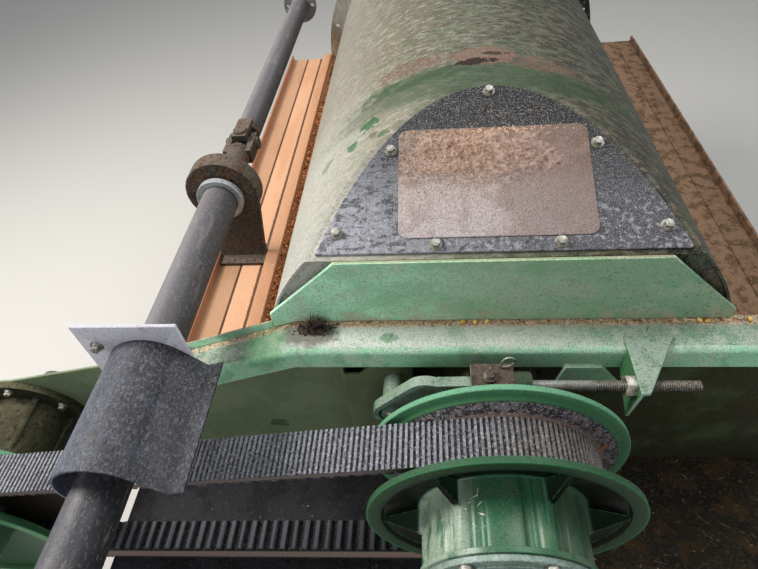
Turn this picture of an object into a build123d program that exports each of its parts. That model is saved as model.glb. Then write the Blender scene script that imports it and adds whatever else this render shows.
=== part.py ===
from build123d import *
from math import sin, cos, tan, radians, hypot, sqrt
import os

# End section of a crop rotor housing with its belt drive and drive shaft.
# Millimetres. +Z up. The rotor axis is the Y axis and the origin is the centre
# of the rear ring flange, where the section bolts to the rest of the housing.
# A station is a distance ahead of that flange, towards -Y.

# Housing
housing_length = 1250.0
housing_radius = 374.0
shell_wall = 4.0
seat = 0.3                    # gap between curved pieces that seat on each other
running_fit = 0.05            # radial clearance of a shaft in its bearing
flange_width = 42.0
flange_thickness = 10.0
flange_bolt_inset = 20.0      # from the flange's outer edge to its bolt circle
flange_bolt_count = 24
flange_hole_radius = 6.5
rail_width = 180.0
rail_thickness = 6.0
rail_bar_offset = 42.0        # width of the gutter beside the shell
rail_bar_width = 27.0
rail_bar_height = 14.0
rail_lip = 16.0
rail_plank = 51.0             # width of the plank beside the bar, up to a seam
rail_seam = 3.0
rail_seam_depth = 2.0

# Flat cut across the housing's shoulder, with the access cover on it
flat_drop = 119.0             # from the shell's crest to the cut's front edge
flat_slope = 23.3             # degrees
flat_panel_thickness = 5.0
cover_thickness = 4.0
cover_side_margin = 12.0
cover_front_margin = 8.0
plate_across = 0.508          # share of the cut's width at its front edge
plate_along = 0.6             # share of the cut's depth
plate_thickness = 2.0
plate_corner = 14.0
plate_front_gap = 30.0
cover_bolt_across = 17.0
cover_bolt_height = 8.0

# Bulkhead, apron and cross beam
end_wall_thickness = 8.0
end_wall_recess = 8.0
sheet = 5.0
apron_thickness = 6.0
apron_top_half = 232.0
apron_foot_height = 146.0
apron_margin = 5.0            # beyond the shell at the apron's foot
ledge_height = 127.0
ledge_depth = 64.0
beam_plate = 6.0
beam_front_drop = 44.0
beam_bend = 14.0              # outer radius where the ledge turns down
beam_right = 600.0
beam_left = 310.0
wing_length = 210.0
wing_drop = 76.0
wing_upstand = 14.0
lug_left = 95.0
lug_right = 190.0
lug_top_left = 104.0
lug_top_right = 158.0
lug_top = 92.0
lug_bottom = 50.0
bulkhead_bottom = 330.0

# Driven sheave and belt
sheave_radius = 190.0
rim_thickness = 8.6
rim_ring_width = 17.0
rim_step = 3.5                # slopes between the rim's ring and the cone
rim_gap = 87.4                # between the two halves at the rim
groove_angle = 13.0           # degrees, each side
cone_wall = 8.0
hub_radius = 64.0
shaft_radius = 34.0
belt_ahead = 214.0            # the belt's mid plane, ahead of the bulkhead's back
belt_width = 63.5
belt_depth = 32.0
belt_radius = 146.0           # of the belt's outer face on the driven sheave
upper_run_slope = 10.13       # degrees, down to the left
lower_run_slope = 5.12
lower_run_drop = 229.5        # from the rotor axis to the lower run's outer face
ridge_count = 286
ridge_height = 3.0
cog_count = 128
cog_height = 10.0
cog_top = 0.5
ring_overlap = 3.0            # how far the ridges and cogs reach into the belt's core
ring_corners = 88             # of the hidden side of the ridges and of the cogs
slack_start = 20.0            # degrees above level where the slack belt leaves the cone
driver_offset = 920.0
driver_radius = 178.0
driver_shaft_radius = 30.0
barrel_radius = 104.0
barrel_length = 72.0
barrel_wall = 14.0
barrel_count = 6
barrel_flange = 7.0
cup_length = 34.0
cup_radius = 88.0
cup_wall = 8.0
cup_inset = 4.0               # of the cup's rim from the barrel's flange
end_clearance = 6.0           # from a shaft's end to the cup or cap over it

# Shafts
shaft_rear_behind = 120.0     # the driven shaft's rear end, behind the bulkhead
driver_rear_behind = 80.0

# Bearing housings
bearing_flange_radius = 115.0
bearing_flange_thickness = 14.0
bearing_barrel_radius = 78.0
bearing_spigot_radius = 70.0
hub_back_ahead = 142.0
bearing_gap = 10.0
bearing_ribs = 6
bearing_rib = 10.0            # thickness

# Tension adjuster
rod_ahead = 118.0
rod_height = 117.0
rod_radius = 8.0
rod_end = 272.0
clevis_left = 40.0
clevis_right = 20.0
clevis_boss = 44.0            # the boss's right end
clevis_depth = 48.0
clevis_height = 40.0
clevis_plate = 8.0
pin_radius = 7.0
gusset_x = 185.0
gusset_plate = 5.0
gusset_tip_ahead = 140.0
gusset_foot_ahead = 128.0
gusset_back_ahead = 42.0
gusset_wide = 70.0
gusset_tip = 12.0
gusset_low = 52.0
nut_across = 27.0
nut_height = 14.0
arm_thickness = 16.0
arm_pivot = (-157.0, 48.0)
arm_bend = (-104.0, 98.0)
arm_pivot_radius = 28.0
arm_bend_radius = 32.0
arm_eye = 14.0                # from the arm's tip to its pin
arm_rim = 8.0
arm_pocket = 9.0
arm_bolt_boss = 15.0
support_left = 242.0
support_right = 125.0
support_bottom = 150.0
support_top = 79.0
support_notch = (212.0, 54.0)  # the notch's inner corner, left of the axis and above it
support_shoulder = 190.0
support_corner = 11.0

# Drive shaft and its guard
tube_x = -488.0
tube_z = 178.0
tube_radius = 32.5
tube_wall = 4.0
tube_front_ahead = 445.0
ring_behind = 248.0
ring_length = 12.0
ring_radius = 44.0
shaft_bearing_radius = 70.0
shaft_bearing_behind = 266.0
shaft_bearing_length = 36.0
neck_radius = 24.0
joint_behind = 444.0
rear_tube_radius = 26.0
guard_x = -475.6
guard_z = 185.5
guard_radius = 62.0
guard_sheet = 3.0
guard_front_ahead = 311.0
guard_rear_ahead = 133.0
guard_flare = 46.0
guard_lip = 24.0
bracket_top = 275.0
pan_clearance = 7.0           # from the second sheave's rim
pan_depth = 350.0
pan_lip = 30.0

# Values worked out from those above
pan_left = driver_offset - driver_radius - pan_clearance
slope = radians(flat_slope)
groove = tan(radians(groove_angle))
inner_radius = housing_radius - shell_wall
half_gap = rim_gap / 2
belt_half = belt_width / 2
flat_front_height = housing_radius - flat_drop
cut_half_width = sqrt(housing_radius ** 2 - flat_front_height ** 2)
cut_depth = flat_drop / sin(slope)
plate_width = plate_across * 2 * cut_half_width
plate_depth = plate_along * cut_depth
apron_foot_half = sqrt(housing_radius ** 2 - apron_foot_height ** 2) + apron_margin
belt_station = housing_length + belt_ahead
hub_back_station = housing_length + hub_back_ahead
rod_station = housing_length + rod_ahead
tube_front_station = housing_length + tube_front_ahead
tube_end = housing_length - ring_behind - ring_length
shaft_bearing_front = housing_length - shaft_bearing_behind
joint_station = housing_length - joint_behind
guard_front_station = housing_length + guard_front_ahead
guard_rear_station = housing_length + guard_rear_ahead
front_station = housing_length + sheet
beam_front = housing_length + ledge_depth
flat_plane = Plane(origin=(0, -housing_length, flat_front_height), x_dir=(1, 0, 0),
                   z_dir=(0, -sin(slope), cos(slope)))

# The belt's outer line: two straight runs, the driven arc, the slack arc and the driver's arc
upper_angle = 90 + upper_run_slope
lower_angle = lower_run_slope - 90
upper_normal = (cos(radians(upper_angle)), sin(radians(upper_angle)))
lower_normal = (cos(radians(lower_angle)), sin(radians(lower_angle)))
slack_dir = (cos(radians(slack_start)), sin(radians(slack_start)))
slack_lean = slack_dir[0] * lower_normal[0] + slack_dir[1] * lower_normal[1]
slack_radius = (lower_run_drop - belt_radius * slack_lean) / (1 - slack_lean)
slack_centre = ((belt_radius - slack_radius) * slack_dir[0], (belt_radius - slack_radius) * slack_dir[1])
driver_x = -driver_offset
upper_rest = belt_radius - upper_normal[0] * driver_x
lower_rest = lower_run_drop - lower_normal[0] * driver_x
driver_z = (upper_rest - lower_rest) / (upper_normal[1] - lower_normal[1])
driver_belt_radius = upper_rest - upper_normal[1] * driver_z


def at_station(distance):
    """Plane facing forward at a station, with X to the right and Z up."""
    return Plane.XZ.offset(distance)


def axial(x, z):
    """Plane through an axis parallel to Y, for profiles given as (radius, -station)."""
    return Plane(origin=(x, 0, z))


def axis_y(x, z):
    return Axis((x, 0, z), (0, 1, 0))


def ledge_height_at(x):
    """Height of the ledge's top face, which drops away on the wing."""
    return ledge_height - max(0, -x - beam_left) * wing_drop / wing_length


def write(builder, label):
    builder.part.label = label
    export_step(builder.part, f"parts/{label}.step")
    print(label, len(builder.solids()), "solid", round(builder.part.volume / 1000), "cm3")


os.makedirs("parts", exist_ok=True)

# Upper half shell, cut flat across its shoulder
with BuildPart() as housing_upper:
    with BuildSketch(at_station(0)):
        Circle(housing_radius)
        Circle(inner_radius, mode=Mode.SUBTRACT)
        with Locations((0, housing_radius / 2)):
            Rectangle(2 * housing_radius, housing_radius, mode=Mode.INTERSECT)
    extrude(amount=housing_length)
    split(bisect_by=flat_plane, keep=Keep.BOTTOM)
write(housing_upper, "housing_upper")

# Lower half shell, below the side rails
with BuildPart() as housing_lower:
    with BuildSketch(at_station(0)):
        Circle(housing_radius)
        Circle(inner_radius, mode=Mode.SUBTRACT)
        with Locations((0, -rail_thickness - housing_radius / 2)):
            Rectangle(2 * housing_radius, housing_radius, mode=Mode.INTERSECT)
    extrude(amount=housing_length)
write(housing_lower, "housing_lower")

# Side rails between the half shells, each with a gutter beside the shell and a lip
for rail_name, side in (("rail_left", -1), ("rail_right", 1)):
    rail_out = inner_radius + rail_width
    bar_in = housing_radius + rail_bar_offset
    bar_out = bar_in + rail_bar_width
    seam_in = bar_out + rail_plank
    with BuildPart() as rail:
        with BuildSketch(at_station(flange_thickness + seat)):
            with BuildLine():
                Polyline(
                    (side * inner_radius, -rail_thickness), (side * rail_out, -rail_thickness),
                    (side * rail_out, rail_lip), (side * (rail_out - rail_thickness), rail_lip),
                    (side * (rail_out - rail_thickness), 0), (side * (seam_in + rail_seam), 0),
                    (side * (seam_in + rail_seam), -rail_seam_depth), (side * seam_in, -rail_seam_depth),
                    (side * seam_in, 0), (side * bar_out, 0), (side * bar_out, rail_bar_height),
                    (side * bar_in, rail_bar_height), (side * bar_in, 0), (side * inner_radius, 0),
                    close=True)
            make_face()
        extrude(amount=housing_length - flange_thickness - seat)
    write(rail, rail_name)

# Rear ring flange with its bolt circle
bolt_circle_radius = housing_radius + flange_width - flange_bolt_inset
with BuildPart() as rear_flange:
    with BuildSketch(at_station(0)):
        Circle(housing_radius + flange_width)
        Circle(housing_radius + seat, mode=Mode.SUBTRACT)
        with PolarLocations(bolt_circle_radius, flange_bolt_count):
            Circle(flange_hole_radius, mode=Mode.SUBTRACT)
    extrude(amount=flange_thickness)
write(rear_flange, "rear_flange")

# End wall inside the shells, cut off level with the flat
with BuildPart() as end_wall:
    with BuildSketch(at_station(housing_length - end_wall_recess - end_wall_thickness)):
        Circle(inner_radius - seat)
        with Locations((0, -housing_radius)):
            Rectangle(2 * housing_radius,
                      2 * (housing_radius + flat_front_height - flat_panel_thickness - seat),
                      mode=Mode.INTERSECT)
        Circle(bearing_spigot_radius + seat, mode=Mode.SUBTRACT)
    extrude(amount=end_wall_thickness)
write(end_wall, "end_wall")

# Flat panel that closes the cut, with the hand hole under the cover
with BuildPart() as flat_panel:
    with BuildSketch(flat_plane):
        with Locations((0, housing_radius)):
            Rectangle(2 * housing_radius, 2 * housing_radius)
        with Locations((0, plate_front_gap + plate_depth / 2)):
            RectangleRounded(plate_width, plate_depth, plate_corner, mode=Mode.SUBTRACT)
    extrude(amount=-flat_panel_thickness)
    with BuildSketch(at_station(0)):
        Circle(inner_radius - seat)
    extrude(amount=housing_length, mode=Mode.INTERSECT)
write(flat_panel, "flat_panel")

# Access cover, a sheet with the cut's own half-ellipse outline
cut_centre = -flat_front_height / sin(slope)
cut_reach = housing_radius / sin(slope)
cover_top = cut_centre + cut_reach - cover_side_margin
with BuildPart() as access_cover:
    with BuildSketch(flat_plane):
        with Locations((0, cut_centre)):
            Ellipse(housing_radius - cover_side_margin, cut_reach - cover_side_margin)
        with Locations((0, cover_front_margin + housing_radius)):
            Rectangle(2 * housing_radius, 2 * housing_radius, mode=Mode.INTERSECT)
    extrude(amount=cover_thickness)
write(access_cover, "access_cover")

# Blank plate on the cover
with BuildPart() as cover_plate:
    with BuildSketch(flat_plane.offset(cover_thickness)):
        with Locations((0, plate_front_gap + plate_depth / 2)):
            RectangleRounded(plate_width, plate_depth, plate_corner)
    extrude(amount=plate_thickness)
write(cover_plate, "cover_plate")

# Cover bolts: (share of the cut's half width, share of its depth), each on both sides, and one at the top
cover_bolt_shares = [(0.552, 0.585), (0.833, 0.136), (0.314, 0.067)]
cover_bolt_places = [(0, cover_top - cover_side_margin)]
for across, along in cover_bolt_shares:
    for side in (-1, 1):
        cover_bolt_places.append((side * across * cut_half_width, along * cut_depth))
with BuildPart() as cover_bolts:
    with BuildSketch(flat_plane.offset(cover_thickness)):
        with Locations(*cover_bolt_places):
            RegularPolygon(cover_bolt_across / 2, 6, major_radius=False)
    extrude(amount=cover_bolt_height)
write(cover_bolts, "cover_bolts")

# Bulkhead: the front wall with an arm to the driver's bearing
bulkhead_top = ledge_height - beam_plate
with BuildPart() as bulkhead:
    with BuildSketch(at_station(housing_length)):
        with BuildLine():
            Polyline((beam_right, bulkhead_top), (beam_right, -bulkhead_bottom),
                     (-pan_left, -bulkhead_bottom),
                     (driver_x, driver_z - bearing_flange_radius),
                     (driver_x, driver_z + bearing_flange_radius),
                     (-beam_left - wing_length, bulkhead_top - wing_drop),
                     (-beam_left, bulkhead_top), close=True)
        make_face()
        with Locations((driver_x, driver_z)):
            Circle(bearing_flange_radius)
        Circle(bearing_spigot_radius + seat, mode=Mode.SUBTRACT)
        with Locations((driver_x, driver_z)):
            Circle(bearing_spigot_radius + seat, mode=Mode.SUBTRACT)
    extrude(amount=sheet)
write(bulkhead, "bulkhead")

# Apron standing on the beam's ledge in front of the shells
with BuildPart() as apron:
    with BuildSketch(at_station(housing_length)):
        with BuildLine():
            Polyline((-apron_top_half, flat_front_height), (apron_top_half, flat_front_height),
                     (apron_foot_half, apron_foot_height), (apron_foot_half, ledge_height),
                     (-beam_left, ledge_height), (-apron_foot_half, ledge_height_at(-apron_foot_half)),
                     (-apron_foot_half, apron_foot_height), close=True)
        make_face()
    extrude(amount=apron_thickness)
write(apron, "apron")

# Cross beam: a ledge bent down at its front, a wing that drops away at its left with an
# upstand behind it, and a small lug plate on its front
wing_run = hypot(wing_length, wing_drop)
inner_bend = beam_bend - beam_plate
bend_centre = (beam_bend - beam_front, ledge_height - beam_bend)
with BuildPart() as cross_beam:
    for along, amount in (((1, 0, 0), beam_left + beam_right), ((-wing_length, 0, -wing_drop), wing_run)):
        with BuildSketch(Plane.YZ.offset(-beam_left)):
            with BuildLine():
                Line((-housing_length, ledge_height), (bend_centre[0], ledge_height))
                CenterArc(bend_centre, beam_bend, 90, 90)
                Polyline((-beam_front, bend_centre[1]), (-beam_front, ledge_height - beam_front_drop),
                         (beam_plate - beam_front, ledge_height - beam_front_drop),
                         (beam_plate - beam_front, bend_centre[1]))
                CenterArc(bend_centre, inner_bend, 90, 90)
                Polyline((bend_centre[0], ledge_height - beam_plate),
                         (-housing_length, ledge_height - beam_plate), (-housing_length, ledge_height))
            make_face()
        extrude(amount=amount, dir=along)
    upstand_right = -apron_foot_half - seat
    upstand_left = -beam_left - wing_length
    with BuildSketch(at_station(housing_length)):
        with BuildLine():
            Polyline((upstand_left, ledge_height_at(upstand_left) - beam_plate / 2),
                     (upstand_right, ledge_height_at(upstand_right) - beam_plate / 2),
                     (upstand_right, ledge_height_at(upstand_right) + wing_upstand),
                     (upstand_left, ledge_height_at(upstand_left) + wing_upstand), close=True)
        make_face()
    extrude(amount=sheet)
    with BuildSketch(at_station(beam_front)):
        with BuildLine():
            Polyline((lug_left, lug_bottom), (lug_top_left, lug_top), (lug_top_right, lug_top),
                     (lug_right, lug_bottom), close=True)
        make_face()
    extrude(amount=beam_plate)
write(cross_beam, "cross_beam")

# Support plate under the beam, notched at its top, with a side flange back to the bulkhead
support_front = beam_front - beam_plate
with BuildPart() as support_plate:
    with BuildSketch(at_station(support_front - beam_plate)):
        with BuildLine():
            Polyline((-support_left, support_top), (beam_plate - support_left, support_top),
                     (beam_plate - support_left, support_notch[1]), (-support_notch[0], support_notch[1]),
                     (-support_shoulder, support_top), (-support_right - support_corner / 2, support_top),
                     (-support_right, support_top - support_corner), (-support_right, -support_bottom),
                     (-support_left, -support_bottom), close=True)
        make_face()
    extrude(amount=beam_plate)
    with BuildSketch(at_station(front_station)):
        with Locations((-support_left + beam_plate / 2, (support_top - support_bottom) / 2)):
            Rectangle(beam_plate, support_top + support_bottom)
    extrude(amount=support_front - front_station)
write(support_plate, "support_plate")

# Adjuster arm: a link with a pocket round its pivot bolt, and a bar to the clevis
arm_station = rod_station - arm_thickness / 2
arm_front = arm_station + arm_thickness
arm_tip_x = 0.0
arm_tip_half = clevis_height / 2 - clevis_plate - seat
pin_x = arm_tip_x - arm_eye
with BuildPart() as adjuster_arm:
    with BuildSketch(at_station(arm_station)):
        with Locations(arm_pivot):
            Circle(arm_pivot_radius)
        with Locations(arm_bend):
            Circle(arm_bend_radius)
        make_hull()
        with BuildLine():
            Polyline((arm_bend[0], arm_bend[1] + arm_bend_radius - arm_rim / 2),
                     (-clevis_left, rod_height + arm_tip_half), (arm_tip_x, rod_height + arm_tip_half),
                     (arm_tip_x, rod_height - arm_tip_half), (-clevis_left, rod_height - arm_tip_half),
                     (arm_bend[0], arm_bend[1] - arm_bend_radius + arm_rim / 2), close=True)
        make_face()
    extrude(amount=arm_thickness)
    with BuildSketch(at_station(arm_front - arm_pocket)):
        with Locations(arm_pivot):
            Circle(arm_pivot_radius - arm_rim)
        with Locations(arm_bend):
            Circle(arm_bend_radius - arm_rim)
        make_hull()
        with Locations(arm_pivot):
            Circle(arm_bolt_boss, mode=Mode.SUBTRACT)
    extrude(amount=arm_pocket, mode=Mode.SUBTRACT)
    with BuildSketch(at_station(support_front)):
        with Locations(arm_pivot):
            Circle(arm_bolt_boss)
    extrude(amount=arm_station - support_front)
    with BuildSketch(Plane.XY):
        with Locations((pin_x, -rod_station)):
            Circle(pin_radius + running_fit)
    extrude(amount=housing_radius, mode=Mode.SUBTRACT)
write(adjuster_arm, "adjuster_arm")

# Clevis: a bent strap open towards the arm, with the rod's boss at its right
with BuildPart() as clevis:
    with BuildSketch(at_station(rod_station - clevis_depth / 2)):
        with Locations(((clevis_right - clevis_left) / 2, rod_height)):
            Rectangle(clevis_left + clevis_right, clevis_height)
        with Locations(((clevis_right - clevis_left) / 2 - clevis_plate, rod_height)):
            Rectangle(clevis_left + clevis_right, clevis_height - 2 * clevis_plate, mode=Mode.SUBTRACT)
    extrude(amount=clevis_depth)
    with BuildSketch(Plane.YZ.offset(clevis_right - clevis_plate)):
        with Locations((-rod_station, rod_height)):
            Circle(clevis_height / 2 - seat)
    extrude(amount=clevis_boss - clevis_right + clevis_plate)
    with BuildSketch(Plane.XY):
        with Locations((pin_x, -rod_station)):
            Circle(pin_radius + running_fit)
    extrude(amount=housing_radius, mode=Mode.SUBTRACT)
write(clevis, "clevis")

# Clevis pin, upright, with a head
pin_out = 10.0
pin_head_radius = 10.0
pin_head = 5.0
with BuildPart() as clevis_pin:
    with BuildSketch(Plane.XY.offset(rod_height - clevis_height / 2 - pin_out)):
        with Locations((pin_x, -rod_station)):
            Circle(pin_radius)
    extrude(amount=clevis_height + 2 * pin_out)
    with BuildSketch(Plane.XY.offset(rod_height + clevis_height / 2)):
        with Locations((pin_x, -rod_station)):
            Circle(pin_head_radius)
    extrude(amount=pin_head)
write(clevis_pin, "clevis_pin")

# Adjuster rod, from the clevis through the gusset
with BuildPart() as adjuster_rod:
    with BuildSketch(Plane.YZ.offset(clevis_boss)):
        with Locations((-rod_station, rod_height)):
            Circle(rod_radius)
    extrude(amount=rod_end - clevis_boss)
write(adjuster_rod, "adjuster_rod")

with BuildPart() as adjuster_nut:
    with BuildSketch(Plane.YZ.offset(gusset_x - nut_height)):
        with Locations((-rod_station, rod_height)):
            RegularPolygon(nut_across / 2, 6, major_radius=False)
            Circle(rod_radius + running_fit, mode=Mode.SUBTRACT)
    extrude(amount=nut_height)
write(adjuster_nut, "adjuster_nut")

# Gusset: a tapered tongue on the ledge, turned down beside the rod
gusset_reach = housing_length + gusset_tip_ahead
gusset_foot = housing_length + gusset_foot_ahead
gusset_back = housing_length + gusset_back_ahead
with BuildPart() as gusset:
    with BuildSketch(Plane.YZ.offset(gusset_x)):
        with BuildLine():
            Polyline((-beam_front, ledge_height), (-gusset_reach, ledge_height), (-gusset_foot, gusset_low),
                     (-beam_front, ledge_height - beam_front_drop), close=True)
        make_face()
        with Locations((-rod_station, rod_height)):
            Circle(rod_radius + seat, mode=Mode.SUBTRACT)
    extrude(amount=gusset_plate)
    with BuildSketch(Plane.XY.offset(ledge_height)):
        with BuildLine():
            Polyline((gusset_x, -gusset_back), (gusset_x + gusset_wide, -gusset_back),
                     (gusset_x + gusset_tip, -gusset_reach), (gusset_x, -gusset_reach), close=True)
        make_face()
    extrude(amount=gusset_plate)
write(gusset, "gusset")

# Bearing housings on the bulkhead, each with a flange, a barrel and a spigot
spigot_station = housing_length - end_wall_recess - end_wall_thickness
barrel_front = hub_back_station - bearing_gap
flange_front = front_station + bearing_flange_thickness
for label, x, z, bore in (("driven_bearing", 0.0, 0.0, shaft_radius),
                          ("driver_bearing", driver_x, driver_z, driver_shaft_radius)):
    with BuildPart() as bearing:
        with BuildSketch(axial(x, z)):
            with BuildLine():
                Polyline((bore + running_fit, -spigot_station), (bearing_spigot_radius, -spigot_station),
                         (bearing_spigot_radius, -front_station), (bearing_flange_radius, -front_station),
                         (bearing_flange_radius, -flange_front), (bearing_barrel_radius, -flange_front),
                         (bearing_barrel_radius, -barrel_front), (bore + running_fit, -barrel_front),
                         close=True)
            make_face()
        revolve(axis=axis_y(x, z))
        for number in range(bearing_ribs):
            turn = radians(number * 360 / bearing_ribs)
            with BuildSketch(Plane(origin=(x, 0, z), x_dir=(cos(turn), 0, sin(turn)),
                                   z_dir=(-sin(turn), 0, cos(turn)))):
                with BuildLine():
                    Polyline((bearing_barrel_radius - bearing_rib, -flange_front + bearing_rib),
                             (bearing_barrel_radius + bearing_rib, -flange_front + bearing_rib),
                             (bearing_barrel_radius + bearing_rib, -flange_front),
                             (bearing_barrel_radius, -barrel_front + bearing_rib),
                             (bearing_barrel_radius - bearing_rib, -barrel_front + bearing_rib), close=True)
                make_face()
            extrude(amount=bearing_rib / 2, both=True)
    write(bearing, label)

# Belt: a tapered core, straight runs extruded and arcs revolved from one section
core_top = ridge_height + seat
core_bottom = belt_depth - cog_height


def belt_section(angle, centre, radius):
    """Section of the belt where its outer face lies at an angle on an arc."""
    outward = (cos(radians(angle)), sin(radians(angle)))
    origin = (centre[0] + radius * outward[0], -belt_station, centre[1] + radius * outward[1])
    return Plane(origin=origin, x_dir=(0, 1, 0), z_dir=(outward[1], 0, -outward[0]))


def half_width_at(depth):
    """Half the belt's width at a depth below its outer face."""
    return belt_half - depth * groove


# Legs of the belt's outer line in turn: (length, angle where it starts, centre, radius, curved);
# a run starts from the end of the arc before it
driver_centre = (driver_x, driver_z)
lower_run = hypot(slack_centre[0] - driver_x + (slack_radius - driver_belt_radius) * lower_normal[0],
                  slack_centre[1] - driver_z + (slack_radius - driver_belt_radius) * lower_normal[1])
upper_run = hypot((belt_radius - driver_belt_radius) * upper_normal[0] - driver_x,
                  (belt_radius - driver_belt_radius) * upper_normal[1] - driver_z)
driver_turn = 360 - upper_angle + lower_angle
belt_legs = [
    (radians(upper_angle - slack_start) * belt_radius, upper_angle, (0, 0), belt_radius, True),
    (radians(slack_start - lower_angle) * slack_radius, slack_start, slack_centre, slack_radius, True),
    (lower_run, lower_angle, slack_centre, slack_radius, False),
    (radians(driver_turn) * driver_belt_radius, lower_angle, driver_centre, driver_belt_radius, True),
    (upper_run, upper_angle, driver_centre, driver_belt_radius, False),
]
belt_length = sum(leg[0] for leg in belt_legs)


def belt_point(way, depth):
    """Point (x, z) at a way along the belt's outer line and a depth below it."""
    for length, angle, centre, radius, curved in belt_legs:
        if way <= length:
            break
        way -= length
    turn = radians(angle) - (way / radius if curved else 0)
    ahead = 0 if curved else way
    return (centre[0] + (radius - depth) * cos(turn) + ahead * sin(turn),
            centre[1] + (radius - depth) * sin(turn) - ahead * cos(turn))


def toothed_line(count, teeth):
    """Closed line of like teeth, each a table of (share of the pitch, depth)."""
    pitch = belt_length / count
    return [belt_point((number + share) * pitch, depth) for number in range(count) for share, depth in teeth]


core_profile = [(-half_width_at(core_top), -core_top), (half_width_at(core_top), -core_top),
                (half_width_at(core_bottom), -core_bottom), (-half_width_at(core_bottom), -core_bottom)]
ridge_line = toothed_line(ridge_count, [(0, 0), (0.5, ridge_height)])
cog_line = toothed_line(cog_count, [(0, belt_depth), (cog_top, belt_depth),
                                    ((1 + cog_top) / 2, core_bottom + seat)])
base_ways = [number * belt_length / ring_corners for number in range(ring_corners)]
ridge_base = [belt_point(way, core_top + ring_overlap) for way in base_ways]
cog_base = [belt_point(way, core_bottom - ring_overlap) for way in base_ways]
with BuildPart() as belt:
    for length, angle, centre, radius, curved in belt_legs:
        with BuildSketch(belt_section(angle, centre, radius)):
            with BuildLine():
                Polyline(*core_profile, close=True)
            make_face()
        if curved:
            revolve(axis=axis_y(*centre), revolution_arc=length / radians(1) / radius)
        else:
            extrude(amount=length)
    for outer_line, inner_line, half in ((ridge_line, ridge_base, half_width_at(core_top + ring_overlap)),
                                         (cog_base, cog_line, half_width_at(belt_depth))):
        with BuildSketch(at_station(belt_station - half)):
            with BuildLine():
                Polyline(*outer_line, close=True)
            make_face()
            with BuildLine():
                Polyline(*inner_line, close=True)
            make_face(mode=Mode.SUBTRACT)
        extrude(amount=2 * half)
write(belt, "belt")


def groove_half_width(radius, on_belt_radius):
    """Distance from the belt's mid plane to the cone face at a radius."""
    return belt_half + seat + (radius - on_belt_radius) * groove


def dish_profile(bore, rim, on_belt_radius, hub, hub_back, side):
    """Profile of a sheave half with a solid hub, as (radius, -station); side is 1 behind the belt."""
    edge = rim - rim_ring_width
    inside = edge - 2 * rim_step
    points = [
        (bore, groove_half_width(hub, on_belt_radius)), (hub, groove_half_width(hub, on_belt_radius)),
        (edge, groove_half_width(edge, on_belt_radius)), (edge + rim_step, half_gap), (rim, half_gap),
        (rim, half_gap + rim_thickness), (edge - rim_step, half_gap + rim_thickness),
        (inside, groove_half_width(inside, on_belt_radius) + cone_wall),
        (hub, groove_half_width(hub, on_belt_radius) + cone_wall), (hub, hub_back), (bore, hub_back),
    ]
    return [(r, side * a - belt_station) for r, a in points]


# Driven sheave: the fixed half, behind the belt
fixed_back = belt_station - hub_back_station
with BuildPart() as driven_fixed_half:
    with BuildSketch(axial(0, 0)):
        with BuildLine():
            Polyline(*dish_profile(shaft_radius + running_fit, sheave_radius, belt_radius, hub_radius,
                                   fixed_back, 1), close=True)
        make_face()
    revolve(axis=Axis.Y)
write(driven_fixed_half, "driven_fixed_half")

# Driven sheave: the moving half in front of the belt, with its ribbed barrel
rim_front = half_gap + rim_thickness
barrel_front_a = rim_front + barrel_length
barrel_inner = barrel_radius - barrel_wall
barrel_root = groove_half_width(barrel_radius, belt_radius) + cone_wall
barrel_start = barrel_root - cone_wall / 2
slider_radius = 52.0
slider_front = 80.0
boss_centre = 97.0
boss_radius = 15.0
flute_centre = 111.0          # concave flutes beside each boss
flute_radius = 10.0
flute_lean = 14.0             # degrees from the boss
rib_thickness = 8.0
rib_root = 3.0                # how far a rib reaches into the barrel
rib_forward = 18.0            # how far it slopes ahead of the rim at the barrel
rib_sunk = 4.0                # how far it lies behind the rim's front at its outer end
rib_reach = sheave_radius - rim_ring_width - rim_step
rib_foot = groove_half_width(rib_reach, belt_radius) + cone_wall / 2
rib_phase = 5.0
cup_flange_radius = 114.0
with BuildPart() as driven_moving_half:
    with BuildSketch(axial(0, 0)):
        with BuildLine():
            Polyline(*dish_profile(shaft_radius + running_fit, sheave_radius, belt_radius, slider_radius,
                                   slider_front, -1), close=True)
        make_face()
    revolve(axis=Axis.Y)
    with BuildSketch(at_station(belt_station + barrel_start)):
        Circle(barrel_radius)
        with PolarLocations(boss_centre, barrel_count, start_angle=rib_phase):
            Circle(boss_radius)
        for side in (-1, 1):
            with PolarLocations(flute_centre, barrel_count, start_angle=rib_phase + side * flute_lean):
                Circle(flute_radius, mode=Mode.SUBTRACT)
        Circle(barrel_inner, mode=Mode.SUBTRACT)
    extrude(amount=barrel_front_a - barrel_flange - barrel_start)
    with BuildSketch(at_station(belt_station + barrel_front_a - barrel_flange)):
        Circle(cup_flange_radius)
        Circle(barrel_inner, mode=Mode.SUBTRACT)
    extrude(amount=barrel_flange)
    for number in range(barrel_count):
        turn = radians(rib_phase + number * 360 / barrel_count)
        with BuildSketch(Plane(origin=(0, 0, 0), x_dir=(cos(turn), 0, sin(turn)),
                               z_dir=(-sin(turn), 0, cos(turn)))):
            with BuildLine():
                Polyline((barrel_radius - rib_root, -belt_station - barrel_start),
                         (rib_reach, -belt_station - rib_foot),
                         (rib_reach, -belt_station - rim_front + rib_sunk),
                         (barrel_radius - rib_root, -belt_station - rim_front - rib_forward), close=True)
            make_face()
        extrude(amount=rib_thickness / 2, both=True)
write(driven_moving_half, "driven_moving_half")

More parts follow.
